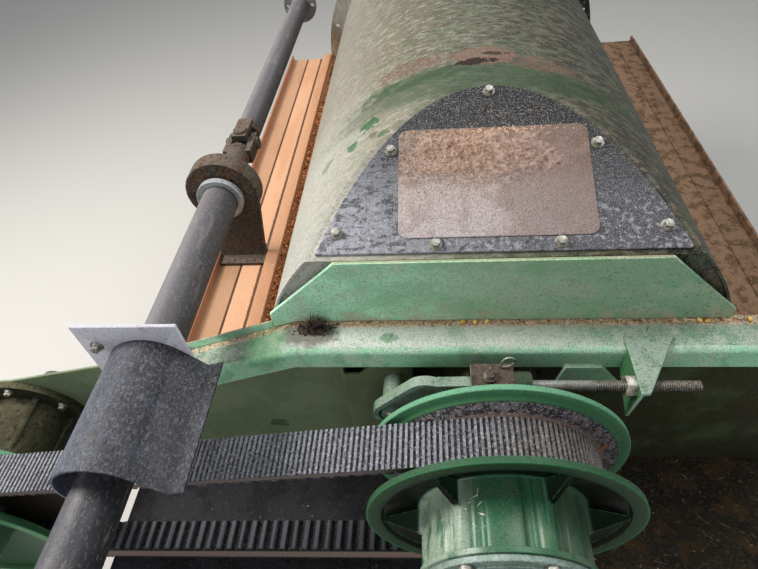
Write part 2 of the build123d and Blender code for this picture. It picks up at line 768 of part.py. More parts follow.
# Spring cup closing the barrel, and its bolts
cup_rim_radius = cup_flange_radius - cup_inset
with BuildPart() as spring_cup:
    with BuildSketch(axial(0, 0)):
        with BuildLine():
            Polyline((0, cup_wall - cup_length), (cup_radius - cup_wall, cup_wall - cup_length),
                     (cup_radius - cup_wall, 0), (cup_rim_radius, 0), (cup_rim_radius, -cup_wall),
                     (cup_radius, -cup_wall), (cup_radius, -cup_length), (0, -cup_length), close=True)
        make_face()
    revolve(axis=Axis.Y)
    add(spring_cup.part.moved(Location((0, -belt_station - barrel_front_a, 0))), mode=Mode.REPLACE)
write(spring_cup, "spring_cup")

cup_bolt_circle = (cup_radius + cup_rim_radius) / 2
with BuildPart() as cup_bolts:
    with BuildSketch(at_station(belt_station + barrel_front_a + cup_wall)):
        with PolarLocations(cup_bolt_circle, barrel_count, start_angle=rib_phase):
            RegularPolygon(cover_bolt_across / 2, 6, major_radius=False)
    extrude(amount=cover_bolt_height)
write(cup_bolts, "cup_bolts")

# Driven shaft and the coupling for the rotor inside the housing
shaft_rear = housing_length - shaft_rear_behind
shaft_front = belt_station + barrel_front_a + cup_length - cup_wall - end_clearance
with BuildPart() as driven_shaft:
    with BuildSketch(at_station(shaft_rear)):
        Circle(shaft_radius)
    extrude(amount=shaft_front - shaft_rear)
write(driven_shaft, "driven_shaft")

coupling_radius = 92.0
coupling_thickness = 16.0
coupling_sleeve_radius = 52.0
coupling_sleeve = 44.0
coupling_hole_circle = 72.0
coupling_hole_radius = 6.5
coupling_count = 6
coupling_first_hole = 30.0     # degrees from level
with BuildPart() as rotor_coupling:
    with BuildSketch(at_station(shaft_rear - coupling_thickness)):
        Circle(coupling_radius)
        with PolarLocations(coupling_hole_circle, coupling_count, start_angle=coupling_first_hole):
            Circle(coupling_hole_radius, mode=Mode.SUBTRACT)
    extrude(amount=coupling_thickness)
    with BuildSketch(at_station(shaft_rear)):
        Circle(coupling_sleeve_radius)
        Circle(shaft_radius + running_fit, mode=Mode.SUBTRACT)
    extrude(amount=coupling_sleeve)
write(rotor_coupling, "rotor_coupling")

# Driver sheave: fixed half, moving half, shaft and actuator cap
driver_hub = 58.0
cap_radius = driver_hub
cap_length = 60.0
driver_slider_front = 72.0
driver_shaft_rear = housing_length - driver_rear_behind
driver_stub = 58.0            # the input end, behind the bearing
driver_stub_radius = 28.0
with BuildPart() as driver_fixed_half:
    with BuildSketch(axial(driver_x, driver_z)):
        with BuildLine():
            Polyline(*dish_profile(driver_shaft_radius + running_fit, driver_radius, driver_belt_radius,
                                   driver_hub, fixed_back, 1), close=True)
        make_face()
    revolve(axis=axis_y(driver_x, driver_z))
write(driver_fixed_half, "driver_fixed_half")

with BuildPart() as driver_moving_half:
    with BuildSketch(axial(driver_x, driver_z)):
        with BuildLine():
            Polyline(*dish_profile(driver_shaft_radius + running_fit, driver_radius, driver_belt_radius,
                                   driver_hub, driver_slider_front, -1), close=True)
        make_face()
    revolve(axis=axis_y(driver_x, driver_z))
write(driver_moving_half, "driver_moving_half")

cap_station = belt_station + driver_slider_front
with BuildPart() as actuator_cap:
    with BuildSketch(axial(driver_x, driver_z)):
        with BuildLine():
            Polyline((0, cup_wall - cap_length - cap_station),
                     (cap_radius - cup_wall, cup_wall - cap_length - cap_station),
                     (cap_radius - cup_wall, -cap_station), (cap_radius, -cap_station),
                     (cap_radius, -cap_length - cap_station), (0, -cap_length - cap_station), close=True)
        make_face()
    revolve(axis=axis_y(driver_x, driver_z))
write(actuator_cap, "actuator_cap")

with BuildPart() as driver_shaft:
    with BuildSketch(at_station(driver_shaft_rear)):
        with Locations((driver_x, driver_z)):
            Circle(driver_stub_radius)
    extrude(amount=driver_stub)
    with BuildSketch(at_station(driver_shaft_rear + driver_stub)):
        with Locations((driver_x, driver_z)):
            Circle(driver_shaft_radius)
    extrude(amount=cap_station + cap_length - cup_wall - end_clearance - driver_shaft_rear - driver_stub)
write(driver_shaft, "driver_shaft")

# Drive shaft: front yoke, tube, ring, neck with its joint, rear tube and flange
yoke_base = 24.0
yoke_ear = 52.0
yoke_ear_thickness = 14.0
yoke_ear_width = 46.0
yoke_gap = 40.0
yoke_bore_radius = 13.0
yoke_bore_station = tube_front_station + yoke_base + yoke_ear - yoke_ear_width / 2
with BuildPart() as front_yoke:
    with BuildSketch(at_station(tube_front_station)):
        with Locations((tube_x, tube_z)):
            Circle(tube_radius)
    extrude(amount=yoke_base)
    with BuildSketch(at_station(tube_front_station + yoke_base)):
        for side in (-1, 1):
            with Locations((tube_x + side * (yoke_gap + yoke_ear_thickness) / 2, tube_z)):
                Rectangle(yoke_ear_thickness, yoke_ear_width)
    extrude(amount=yoke_ear - yoke_ear_width / 2)
    with BuildSketch(Plane.YZ.offset(tube_x - yoke_gap / 2 - yoke_ear_thickness)):
        with Locations((-yoke_bore_station, tube_z)):
            Circle(yoke_ear_width / 2)
    extrude(amount=yoke_ear_thickness)
    with BuildSketch(Plane.YZ.offset(tube_x + yoke_gap / 2)):
        with Locations((-yoke_bore_station, tube_z)):
            Circle(yoke_ear_width / 2)
    extrude(amount=yoke_ear_thickness)
    with BuildSketch(Plane.YZ.offset(tube_x - yoke_gap)):
        with Locations((-yoke_bore_station, tube_z)):
            Circle(yoke_bore_radius)
    extrude(amount=2 * yoke_gap, mode=Mode.SUBTRACT)
write(front_yoke, "front_yoke")

with BuildPart() as drive_tube:
    with BuildSketch(at_station(tube_end)):
        with Locations((tube_x, tube_z)):
            Circle(tube_radius)
            Circle(tube_radius - tube_wall, mode=Mode.SUBTRACT)
    extrude(amount=tube_front_station - tube_end)
write(drive_tube, "drive_tube")

with BuildPart() as shaft_ring:
    with BuildSketch(at_station(tube_end)):
        with Locations((tube_x, tube_z)):
            Circle(ring_radius)
            Circle(tube_radius + seat, mode=Mode.SUBTRACT)
    extrude(amount=ring_length)
write(shaft_ring, "shaft_ring")

fork_length = 18.0
fork_ear = 34.0
fork_width = 30.0
fork_thickness = 12.0
fork_gap = 34.0
fork_cheek = 5.0              # metal beyond the trunnion
neck_plug = 16.0              # length of the neck's end inside the tube
trunnion_radius = 13.0
with BuildPart() as cardan_joint:
    with BuildSketch(at_station(joint_station + fork_ear)):
        with Locations((tube_x, tube_z)):
            Circle(neck_radius)
    extrude(amount=tube_end - joint_station - fork_ear)
    with BuildSketch(at_station(tube_end)):
        with Locations((tube_x, tube_z)):
            Circle(tube_radius - tube_wall - seat)
    extrude(amount=neck_plug)
    with BuildSketch(at_station(joint_station - fork_ear - fork_length)):
        with Locations((tube_x, tube_z)):
            Circle(rear_tube_radius)
    extrude(amount=fork_length)
    for side in (-1, 1):
        with BuildSketch(at_station(joint_station - trunnion_radius - fork_cheek)):
            with Locations((tube_x + side * (fork_gap + fork_thickness) / 2, tube_z)):
                Rectangle(fork_thickness, fork_width)
        extrude(amount=fork_ear + trunnion_radius + fork_cheek + fork_length)
        with BuildSketch(at_station(joint_station - fork_ear - fork_length)):
            with Locations((tube_x, tube_z + side * (fork_gap + fork_thickness) / 2)):
                Rectangle(fork_width, fork_thickness)
        extrude(amount=fork_ear + trunnion_radius + fork_cheek + fork_length)
    with BuildSketch(Plane.YZ.offset(tube_x - fork_gap)):
        with Locations((-joint_station, tube_z)):
            Circle(trunnion_radius)
    extrude(amount=2 * fork_gap)
    with BuildSketch(Plane.XY.offset(tube_z - fork_gap)):
        with Locations((tube_x, -joint_station)):
            Circle(trunnion_radius)
    extrude(amount=2 * fork_gap)
write(cardan_joint, "cardan_joint")

rear_flange_station = 24.0
rear_flange_plate = 10.0
rear_flange_radius = 50.0
rear_flange_hole_circle = 38.0
rear_flange_hole_radius = 5.5
rear_flange_holes = 4
with BuildPart() as rear_tube:
    with BuildSketch(at_station(rear_flange_station)):
        with Locations((tube_x, tube_z)):
            Circle(rear_tube_radius)
    extrude(amount=joint_station - fork_ear - fork_length - rear_flange_station)
    with BuildSketch(at_station(rear_flange_station)):
        with Locations((tube_x, tube_z)):
            Circle(rear_flange_radius)
            with PolarLocations(rear_flange_hole_circle, rear_flange_holes):
                Circle(rear_flange_hole_radius, mode=Mode.SUBTRACT)
    extrude(amount=rear_flange_plate)
write(rear_tube, "rear_tube")

# Shaft bearing on a bracket that stands on the left rail
with BuildPart() as shaft_bearing:
    with BuildSketch(at_station(shaft_bearing_front - shaft_bearing_length)):
        with Locations((tube_x, tube_z)):
            Circle(shaft_bearing_radius)
            Circle(neck_radius + running_fit, mode=Mode.SUBTRACT)
    extrude(amount=shaft_bearing_length)
write(shaft_bearing, "shaft_bearing")

rail_flat_in = -(housing_radius + rail_bar_offset + rail_bar_width)
rail_flat_out = -(inner_radius + rail_width - rail_thickness)
bracket_plate = 12.0
bracket_lean = 20.0
foot_length = 60.0
foot_thickness = 8.0
foot_margin = 1.0
bracket_station = shaft_bearing_front - shaft_bearing_length / 2 - bracket_plate / 2
with BuildPart() as shaft_bracket:
    with BuildSketch(at_station(bracket_station)):
        with BuildLine():
            Polyline((rail_flat_out + foot_margin, 0), (rail_flat_in - foot_margin, 0),
                     (rail_flat_in - foot_margin, 2 * rail_bar_height),
                     (rail_flat_in + bracket_lean, tube_z), (rail_flat_out + foot_margin, tube_z), close=True)
        make_face()
        with Locations((tube_x, tube_z)):
            Circle(shaft_bearing_radius + seat, mode=Mode.SUBTRACT)
    extrude(amount=bracket_plate)
    with BuildSketch(Plane.XY):
        with Locations(((rail_flat_in + rail_flat_out) / 2, -bracket_station - bracket_plate / 2)):
            Rectangle(rail_flat_in - rail_flat_out - 2 * foot_margin, foot_length)
    extrude(amount=foot_thickness)
write(shaft_bracket, "shaft_bracket")

# Shaft guard: a curved sheet over the tube, flared to the right with a turned lip
guard_end_angle = 40.0
guard_start_angle = 205.0
guard_mid = guard_radius - guard_sheet / 2
flare_angle = guard_end_angle - 90
lip_angle = 17.0
flare_start = (guard_x + guard_mid * cos(radians(guard_end_angle)),
               guard_z + guard_mid * sin(radians(guard_end_angle)))
flare_end = (flare_start[0] + guard_flare * cos(radians(flare_angle)),
             flare_start[1] + guard_flare * sin(radians(flare_angle)))
with BuildPart() as shaft_guard:
    with BuildSketch(at_station(guard_rear_station)):
        with BuildLine():
            arc = CenterArc((guard_x, guard_z), guard_radius, guard_end_angle,
                            guard_start_angle - guard_end_angle)
            inner = CenterArc((guard_x, guard_z), guard_radius - guard_sheet, guard_end_angle,
                              guard_start_angle - guard_end_angle)
            Line(arc @ 0, inner @ 0)
            Line(arc @ 1, inner @ 1)
        make_face()
        with Locations(Location(((flare_start[0] + flare_end[0]) / 2, (flare_start[1] + flare_end[1]) / 2),
                                flare_angle)):
            Rectangle(guard_flare + guard_sheet / 2, guard_sheet)
        with Locations(Location((flare_end[0] + guard_lip / 2 * cos(radians(lip_angle)),
                                 flare_end[1] + guard_lip / 2 * sin(radians(lip_angle))), lip_angle)):
            Rectangle(guard_lip, guard_sheet)
    extrude(amount=guard_front_station - guard_rear_station)
write(shaft_guard, "shaft_guard")

# Guard bracket: an upright behind the guard, a leg back to the bulkhead and a foot on it
bracket_left = -562.0
bracket_right = -416.0
leg_right = -524.0
leg_height = 77.0
foot_bottom = -20.0
tube_clearance = 6.0
with BuildPart() as guard_bracket:
    with BuildSketch(at_station(guard_rear_station - sheet)):
        with BuildLine():
            Polyline((bracket_left, leg_height - sheet), (leg_right, leg_height - sheet),
                     (bracket_right, tube_z - guard_radius), (bracket_right, bracket_top),
                     (bracket_left, bracket_top), close=True)
        make_face()
        with Locations((tube_x, tube_z)):
            Circle(tube_radius + tube_clearance, mode=Mode.SUBTRACT)
    extrude(amount=sheet)
    with BuildSketch(at_station(front_station)):
        with Locations(((bracket_left + leg_right) / 2, leg_height - sheet / 2)):
            Rectangle(leg_right - bracket_left, sheet)
    extrude(amount=guard_rear_station - sheet - front_station)
    with BuildSketch(at_station(front_station)):
        with Locations(((bracket_left + leg_right) / 2, (leg_height + foot_bottom) / 2)):
            Rectangle(leg_right - bracket_left, leg_height - foot_bottom)
    extrude(amount=sheet)
write(guard_bracket, "guard_bracket")

# Belt pan below the belt, with a turned-up front
with BuildPart() as belt_pan:
    with BuildSketch(Plane.YZ.offset(-pan_left)):
        with BuildLine():
            Polyline((-housing_length, -bulkhead_bottom), (-housing_length, -bulkhead_bottom - sheet),
                     (-housing_length - pan_depth, -bulkhead_bottom - sheet),
                     (-housing_length - pan_depth, -bulkhead_bottom + pan_lip),
                     (-housing_length - pan_depth + sheet, -bulkhead_bottom + pan_lip),
                     (-housing_length - pan_depth + sheet, -bulkhead_bottom), close=True)
        make_face()
    extrude(amount=pan_left + beam_right)
write(belt_pan, "belt_pan")
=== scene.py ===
import bpy
import bmesh
import random
from math import radians, sin, cos, pi, tan
from mathutils import Matrix, Vector, noise


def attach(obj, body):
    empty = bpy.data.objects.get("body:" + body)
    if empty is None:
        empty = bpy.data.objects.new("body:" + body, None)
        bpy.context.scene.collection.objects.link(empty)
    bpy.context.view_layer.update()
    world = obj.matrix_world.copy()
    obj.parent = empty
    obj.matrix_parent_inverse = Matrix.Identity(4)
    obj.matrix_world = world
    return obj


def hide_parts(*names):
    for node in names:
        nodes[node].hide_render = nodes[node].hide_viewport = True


# Front end of a rotor housing with its variable-speed belt drive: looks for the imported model
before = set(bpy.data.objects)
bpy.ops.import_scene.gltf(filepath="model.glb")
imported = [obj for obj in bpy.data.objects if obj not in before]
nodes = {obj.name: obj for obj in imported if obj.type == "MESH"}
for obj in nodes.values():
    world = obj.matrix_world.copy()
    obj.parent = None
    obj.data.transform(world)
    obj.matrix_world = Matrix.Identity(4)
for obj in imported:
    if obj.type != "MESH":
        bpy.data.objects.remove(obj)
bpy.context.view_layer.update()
random.seed(11)
print("frame loaded:", len(nodes), "nodes")

room = {
    "floorHeight": -0.62,
    "floorSize": 14.0,
    "floorColour": (204, 201, 195),
    "worldColour": (232, 238, 246),
    "worldLevel": 0.4,
}
lamps = {  # place, target, size, watts, colour
    "window": ((-2.3, -0.9, 2.1), (-0.2, -1.3, 0.1), 1.0, 96.0, (1.0, 0.97, 0.92)),
    "ceiling": ((0.9, -0.2, 2.8), (0.0, -1.2, 0.0), 1.6, 46.0, (0.98, 0.99, 1.0)),
    "fill": ((-1.0, -3.6, 1.3), (-0.1, -1.5, 0.0), 1.8, 16.0, (0.97, 0.98, 1.0)),
}
shot = {
    "place": (-0.0906, -1.795, 0.7855),
    "pitch": 0.8119,
    "yaw": 0.1451,
    "roll": 0.1217,
    "lens": 25.68,
}


def tint(red, green, blue):  # a colour as seen on screen, 0 to 255, to the value that a shader takes
    parts = [c / 255 for c in (red, green, blue)]
    return tuple(p / 12.92 if p <= 0.04045 else ((p + 0.055) / 1.055) ** 2.4 for p in parts) + (1.0,)


def joins(operation, swapped=False):  # an operator for the class below
    def combine(self, other):
        pair = (other, self) if swapped else (self, other)
        return self.paint.maths(operation, *pair)
    return combine


class Wire:  # one socket, so that shader maths reads as plain sums
    def __init__(self, paint, socket):
        self.paint = paint
        self.socket = socket

    __add__, __radd__ = joins("ADD"), joins("ADD", True)
    __sub__, __rsub__ = joins("SUBTRACT"), joins("SUBTRACT", True)
    __mul__, __rmul__ = joins("MULTIPLY"), joins("MULTIPLY", True)
    __truediv__, __pow__ = joins("DIVIDE"), joins("POWER")


class Paint:  # one material and the nodes in it
    def __init__(self, name):
        self.material = bpy.data.materials.new(name)
        self.material.use_nodes = True
        self.tree = self.material.node_tree
        self.tree.nodes.clear()
        self.place = self.node("TexCoord", {}, {}, "Object")
        self.x, self.y, self.z = self.split(self.place)
        self.sideways, self.back, self.up = self.split(self.node("TexCoord", {}, {}, "Normal"))

    def node(self, kind, settings, sockets, out=0):
        made = self.tree.nodes.new("ShaderNode" + kind)
        for name, value in settings.items():
            if name == "stops":
                points = made.color_ramp.elements
                points[0].position, points[0].color = value[0]
                points[1].position, points[1].color = value[-1]
                for at, colour in value[1:-1]:
                    points.new(at).color = colour
            else:
                setattr(made, name, value)
        for name, value in sockets.items():
            if isinstance(value, Wire):
                self.tree.links.new(value.socket, made.inputs[name])
            else:
                made.inputs[name].default_value = value
        return Wire(self, made.outputs[out]) if len(made.outputs) else None

    def split(self, vector):
        first = self.node("SeparateXYZ", {}, {0: vector})
        return [Wire(self, first.socket.node.outputs[i]) for i in range(3)]

    def maths(self, operation, *values, clamp=False):
        settings = {"operation": operation, "use_clamp": clamp}
        return self.node("Math", settings, dict(enumerate(values)))

    def clamped(self, value):
        return self.maths("MULTIPLY", value, 1.0, clamp=True)

    def size(self, value):
        return self.maths("ABSOLUTE", value)

    def along(self, way):  # what a pattern follows: an axis, a turn about the drum's line, or a radius
        if way == "turn":
            return self.maths("ARCTAN2", self.x, self.z)
        if way == "radius":
            return (self.x ** 2 + self.z ** 2) ** 0.5
        if way == "facing":  # 0 on faces that look sideways from the sheaves' axis
            return self.size(self.back)
        if way == "driverRadius":
            return ((self.x - driverPlace[0]) ** 2 + (self.z - driverPlace[1]) ** 2) ** 0.5
        return {"x": self.x, "y": self.y, "z": self.z, "up": self.up, "back": self.back,
                "sideways": self.sideways}[way]

    def step(self, value, low, high):  # 0 up to low, 1 from high on, or the other way when low is above high
        return self.node("MapRange", {"interpolation_type": "SMOOTHSTEP"},
                         {"Value": value, "From Min": low, "From Max": high})

    def grade(self, value, stops):  # colours or greys along a value
        low, high = stops[0][0], stops[-1][0]
        share = self.node("MapRange", {}, {"Value": value, "From Min": low, "From Max": high})
        ramp = [((at - low) / (high - low), tint(*colour)) for at, *colour in stops]
        return self.node("ValToRGB", {"stops": ramp}, {"Fac": share})

    def mix(self, factor, first, second, blend="MIX"):
        return self.node("Mix", {"data_type": "RGBA", "blend_type": blend},
                         {0: factor, 6: first, 7: second}, 2)

    def placed(self, stretch, turn):
        if not stretch and not turn:
            return self.place
        return self.node("Mapping", {}, {"Vector": self.place, "Rotation": turn or (0, 0, 0),
                                         "Scale": stretch or (1, 1, 1)})

    def noise(self, scale, detail=4.0, rough=0.55, stretch=None, turn=None, bend=0.0):
        return self.node("TexNoise", {}, {"Vector": self.placed(stretch, turn), "Scale": scale,
                                          "Detail": detail, "Roughness": rough, "Distortion": bend})

    def attribute(self, name):
        return self.node("Attribute", {"attribute_name": name}, {}, "Fac")

    def near(self, centre, reach, soft, across, ragged):
        # 1 near a point, fading out past reach; an axis that across leaves out or gives as 0 doesn't count
        total = 0.0
        for axis, middle, side in zip((self.x, self.y, self.z), centre, across):
            if side:
                total = ((axis - middle) / side) ** 2 + total
        distance = total ** 0.5
        if ragged:
            distance = distance + (self.noise(70, 4.0, 0.6) - 0.5) * ragged
        return self.step(distance, reach + soft, reach)

    def finish(self, colour, rough, bump=None, depth=0.001, metal=0.0, coat=0.0, glint=0.2):
        sockets = {"Base Color": colour, "Roughness": rough, "Metallic": metal, "Coat Weight": coat,
                   "Coat Roughness": 0.3, "Specular IOR Level": glint}
        if bump is not None:
            sockets["Normal"] = self.node("Bump", {}, {"Height": bump, "Distance": depth, "Strength": 1.0})
        surface = self.node("BsdfPrincipled", {}, sockets)
        self.node("OutputMaterial", {}, {"Surface": surface})
        return self.material


def layer(colour, scale, cover, soft=0.08, strength=0.8, **more):  # one film of dust, grains, rubbed paint, stain or painted light
    return dict({"colour": colour, "scale": scale, "cover": cover, "soft": soft, "strength": strength,
                 "detail": 4.0, "rough": 0.1, "height": 0.0, "up": 0.0, "stretch": None, "turn": None,
                 "zone": None, "zone2": None, "bend": 0.0}, **more)


def grains(colour, scale, cover, soft=0.08, strength=0.8, **more):  # a film of fine specks
    return layer(colour, scale, cover, soft, strength, detail=2.0, **more)


def mark(colour, centre, reach, soft=0.01, strength=0.8, **more):  # a local scratch, stain or dent
    return dict({"colour": colour, "centre": centre, "reach": reach, "soft": soft, "strength": strength,
                 "across": (1, 1, 1), "ragged": 0.02, "patchy": 0.0, "height": 0.0}, **more)


def coat(name, look):  # paint or bare metal under what lies on it
    paint = Paint(name)
    way, stops = look["tone"]
    colour = paint.grade(paint.along(way), stops)
    for way, stops in look.get("shades", []):
        colour = paint.mix(1.0, colour, paint.grade(paint.along(way), stops), "MULTIPLY")
    for way, low, high, film, *zone in look.get("faces", []):  # another colour on the faces that look one way
        mask = paint.step(paint.along(way), low, high)
        if zone:
            mask = mask * paint.step(paint.along(zone[0]), zone[1], zone[2])
        colour = paint.mix(mask, colour, tint(*film))
    rough = look.get("rough", 0.6)
    height = 0.0
    for film in look.get("layers", []):
        field = paint.noise(film["scale"], film["detail"], 0.6, film["stretch"], film["turn"], film["bend"])
        if film["up"]:
            field = paint.clamped(paint.up) * film["up"] + field
        edge = 0.5 + 0.3 * (0.5 - film["cover"])
        mask = paint.step(field, edge - film["soft"] / 2, edge + film["soft"] / 2)
        for zone in (film["zone"], film["zone2"]):
            if zone:
                zoneWay, zoneLow, zoneHigh = zone
                mask = mask * paint.step(paint.along(zoneWay), zoneLow, zoneHigh)
        colour = paint.mix(mask * film["strength"], colour, tint(*film["colour"]))
        rough = mask * film["rough"] + rough
        if film["height"]:
            height = mask * film["height"] + height
    for spot in look.get("marks", []):
        mask = paint.near(spot["centre"], spot["reach"], spot["soft"], spot["across"], spot["ragged"])
        if spot["patchy"]:
            broken = paint.step(paint.noise(150, 4.0, 0.65), 0.56, 0.42)
            mask = mask * (broken * spot["patchy"] + (1 - spot["patchy"]))
        colour = paint.mix(mask * spot["strength"], colour, tint(*spot["colour"]))
        if spot["height"]:
            height = mask * spot["height"] + height
    if look.get("worn"):  # a pale colour along the rounded edges: rubbed-off paint and a painted highlight
        wearAndHighlight = paint.step(paint.noise(220, 3.0, 0.6), 0.4, 0.6) * 0.7
        edge = paint.attribute("edge")
        colour = paint.mix(edge * wearAndHighlight, colour, tint(*look["worn"]))
    height = paint.noise(look.get("grit", 500), 2.0, 0.6) * look.get("gritHeight", 0.3) + height
    shine = look.get("shine", 0.0)
    if shine:  # a clean glossy part of an otherwise dusty piece
        shine = paint.step(paint.along(shine[1]), shine[2], shine[3]) * shine[0]
    return paint.finish(colour, paint.clamped(rough), height, look.get("depth", 0.0006),
                        look.get("metal", 0.0), shine, look.get("glint", 0.2))


def dress(material, *names):
    for name in names:
        slots = nodes[name].data.materials
        slots.clear()
        slots.append(material)


def meshOf(name, shape):
    mesh = bpy.data.meshes.new(name)
    shape.to_mesh(mesh)
    shape.free()
    return mesh


def objectOf(name, data):
    made = bpy.data.objects.new(name, data)
    bpy.context.scene.collection.objects.link(made)
    return made


def piece(name, shape, material, body, smooth=35, replaces=()):  # a bmesh as an object on a body
    mesh = meshOf(name, shape)
    mesh.materials.append(material)
    mesh.shade_smooth()
    mesh.set_sharp_from_angle(angle=radians(smooth))
    made = objectOf(name, mesh)
    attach(made, body)
    if replaces:
        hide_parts(*replaces)
    return made


def cadShape(name):  # a CAD piece as a bmesh, its doubled corners merged
    shape = bmesh.new()
    shape.from_mesh(nodes[name].data)
    bmesh.ops.remove_doubles(shape, verts=shape.verts, dist=0.000002)
    return shape


def rounded(name, body, material, width, turn=32):  # a CAD piece with its sharp edges taken off
    shape = cadShape(name)
    bmesh.ops.dissolve_limit(shape, angle_limit=radians(0.6), verts=shape.verts, edges=shape.edges)
    edgeLayer = shape.faces.layers.float.new("edge")
    sharp = [e for e in shape.edges if len(e.link_faces) == 2 and e.calc_face_angle(0.0) > radians(turn)]
    made = bmesh.ops.bevel(shape, geom=sharp, offset=width, offset_type="OFFSET", segments=1, profile=0.5,
                           affect="EDGES", clamp_overlap=True, material=-1)
    for face in made["faces"]:
        face[edgeLayer] = 1.0
    return piece(name + "Rounded", shape, material, body, replaces=(name,))


driverPlace = (-0.92, -0.16533)  # x and z of the second sheave's shaft

print("painting the housing")
drumLook = {
    # the tone round the drum is painted light: pale and creamy on the lit left side, dark olive on the shaded
    # right side; the shades make it darker towards the back
    "tone": ("turn", [(-1.75, 140, 120, 98), (-1.5, 214, 180, 138), (-1.28, 192, 194, 187),
                      (-0.85, 186, 184, 174), (-0.45, 142, 136, 121), (-0.1, 92, 98, 82),
                      (0.3, 54, 47, 34), (0.8, 33, 29, 19), (1.2, 48, 44, 36), (1.6, 84, 82, 70)]),
    "shades": [("y", [(-1.25, 255, 255, 255), (-1.0, 250, 250, 248), (-0.8, 206, 198, 190),
                      (-0.4, 190, 182, 174), (0.0, 200, 196, 190)])],
    "layers": [  # dust brushed round the drum over greener paint
        layer((104, 118, 92), 34, 0.34, 0.14, 0.4, stretch=(0.6, 1.6, 0.6), turn=(0, 0, 0.4), bend=0.8,
              zone=("turn", -1.2, -0.4)),
        layer((58, 80, 50), 22, 0.2, 0.1, 0.42, stretch=(0.6, 1.7, 0.6), turn=(0, 0, -0.3), bend=1.0,
              zone=("turn", -0.8, -0.2), zone2=("turn", 0.6, 0.1)),
        layer((190, 185, 170), 90, 0.32, 0.14, 0.36, stretch=(0.5, 1.3, 0.5), turn=(0, 0, 0.4), bend=0.8,
              height=0.4, zone=("turn", 0.4, -0.3)),
        layer((138, 124, 104), 80, 0.36, 0.14, 0.36, stretch=(0.5, 1.3, 0.5), turn=(0, 0, -0.3), height=0.3,
              zone=("turn", -0.7, 0.0)),
        layer((72, 80, 60), 300, 0.26, 0.12, 0.4, detail=3.0, stretch=(0.6, 1, 0.6)),
        grains((206, 202, 186), 460, 0.18, 0.1, 0.24, height=0.4),
    ],
    "marks": [  # green scrapes at the left, then the worn crest
        mark((46, 96, 50), (-0.192, -1.0), 0.012, 0.003, 0.85, across=(1, 1.2), ragged=0.04),
        mark((50, 100, 54), (-0.219, -1.035), 0.007, 0.003, 0.8, across=(1, 1.2), ragged=0.03),
        mark((48, 92, 50), (-0.176, -0.905), 0.014, 0.008, 0.7, across=(1.6, 0.9), ragged=0.05, patchy=0.5),
        mark((52, 92, 52), (-0.165, -1.05), 0.005, 0.003, 0.7, across=(1, 1.2), ragged=0.03),
        mark((60, 100, 60), (-0.144, -1.078), 0.005, 0.003, 0.7, across=(1, 1.2)),
        mark((66, 98, 62), (-0.268, -1.03), 0.01, 0.006, 0.5, across=(0.8, 1.0), ragged=0.04),
        mark((84, 82, 60), (-0.182, -1.038), 0.006, 0.003, 0.7, across=(1, 1), ragged=0.01),
        mark((36, 66, 36), (0.0, -0.955), 0.05, 0.06, 0.6, across=(3.0, 0.6), ragged=0.06),
        mark((36, 66, 36), (-0.12, -0.92), 0.02, 0.02, 0.55, across=(3.0, 0.7), ragged=0.05),
        mark((112, 86, 72), (-0.122, -0.868), 0.018, 0.01, 0.95, across=(3.0, 1.15), ragged=0.06,
             patchy=0.75, height=0.8),
        mark((130, 100, 88), (0.003, -0.884), 0.027, 0.004, 0.95, across=(1.9, 1.15), ragged=0.035,
             patchy=0.45, height=-3.0),
        mark((40, 28, 24), (-0.014, -0.902), 0.011, 0.004, 0.95, across=(2.6, 0.9), ragged=0.04),
        mark((44, 34, 28), (0.02, -0.876), 0.006, 0.003, 0.8, across=(3.0, 0.7), ragged=0.03),
        mark((114, 86, 70), (0.098, -0.904), 0.016, 0.01, 0.9, across=(2.6, 1.1), ragged=0.06, patchy=0.75),
    ],
    "rough": 0.45, "glint": 0.22, "grit": 480, "gritHeight": 0.4,
}
railLook = {
    "tone": ("x", [(-0.55, 170, 112, 80), (-0.535, 212, 166, 132), (-0.445, 206, 158, 124),
                   (-0.42, 200, 150, 114), (-0.4, 176, 118, 70), (-0.37, 150, 96, 54)]),
    "layers": [
        layer((140, 80, 38), 60, 0.42, 0.12, 0.8, zone=("x", -0.416, -0.408), height=0.8),
        layer((64, 36, 20), 90, 0.22, 0.08, 0.85, zone=("x", -0.414, -0.405), stretch=(1, 0.3, 1),
              height=1.0),
        layer((184, 130, 96), 24, 0.35, 0.2, 0.4, stretch=(1, 0.2, 1)),
        grains((150, 106, 78), 420, 0.14, 0.08, 0.4, height=0.3),
        grains((226, 192, 158), 380, 0.12, 0.08, 0.35),
    ],
    "marks": [
        mark((64, 48, 40), (-0.4975, 0.0), 0.0018, 0.0006, 0.8, across=(1, 0), ragged=0.0),
        mark((70, 50, 38), (-0.4495, 0.0), 0.0048, 0.0012, 0.9, across=(1, 0), ragged=0.004),
    ],
    "rough": 0.8, "depth": 0.001,
}
rightRailLook = dict(railLook, tone=("x", [(0.37, 120, 92, 66), (0.42, 150, 118, 90), (0.55, 140, 108, 84)]),
                     layers=[layer((84, 60, 40), 40, 0.4, 0.14, 0.7, height=0.6),
                             grains((180, 160, 130), 260, 0.14, 0.06, 0.5)])
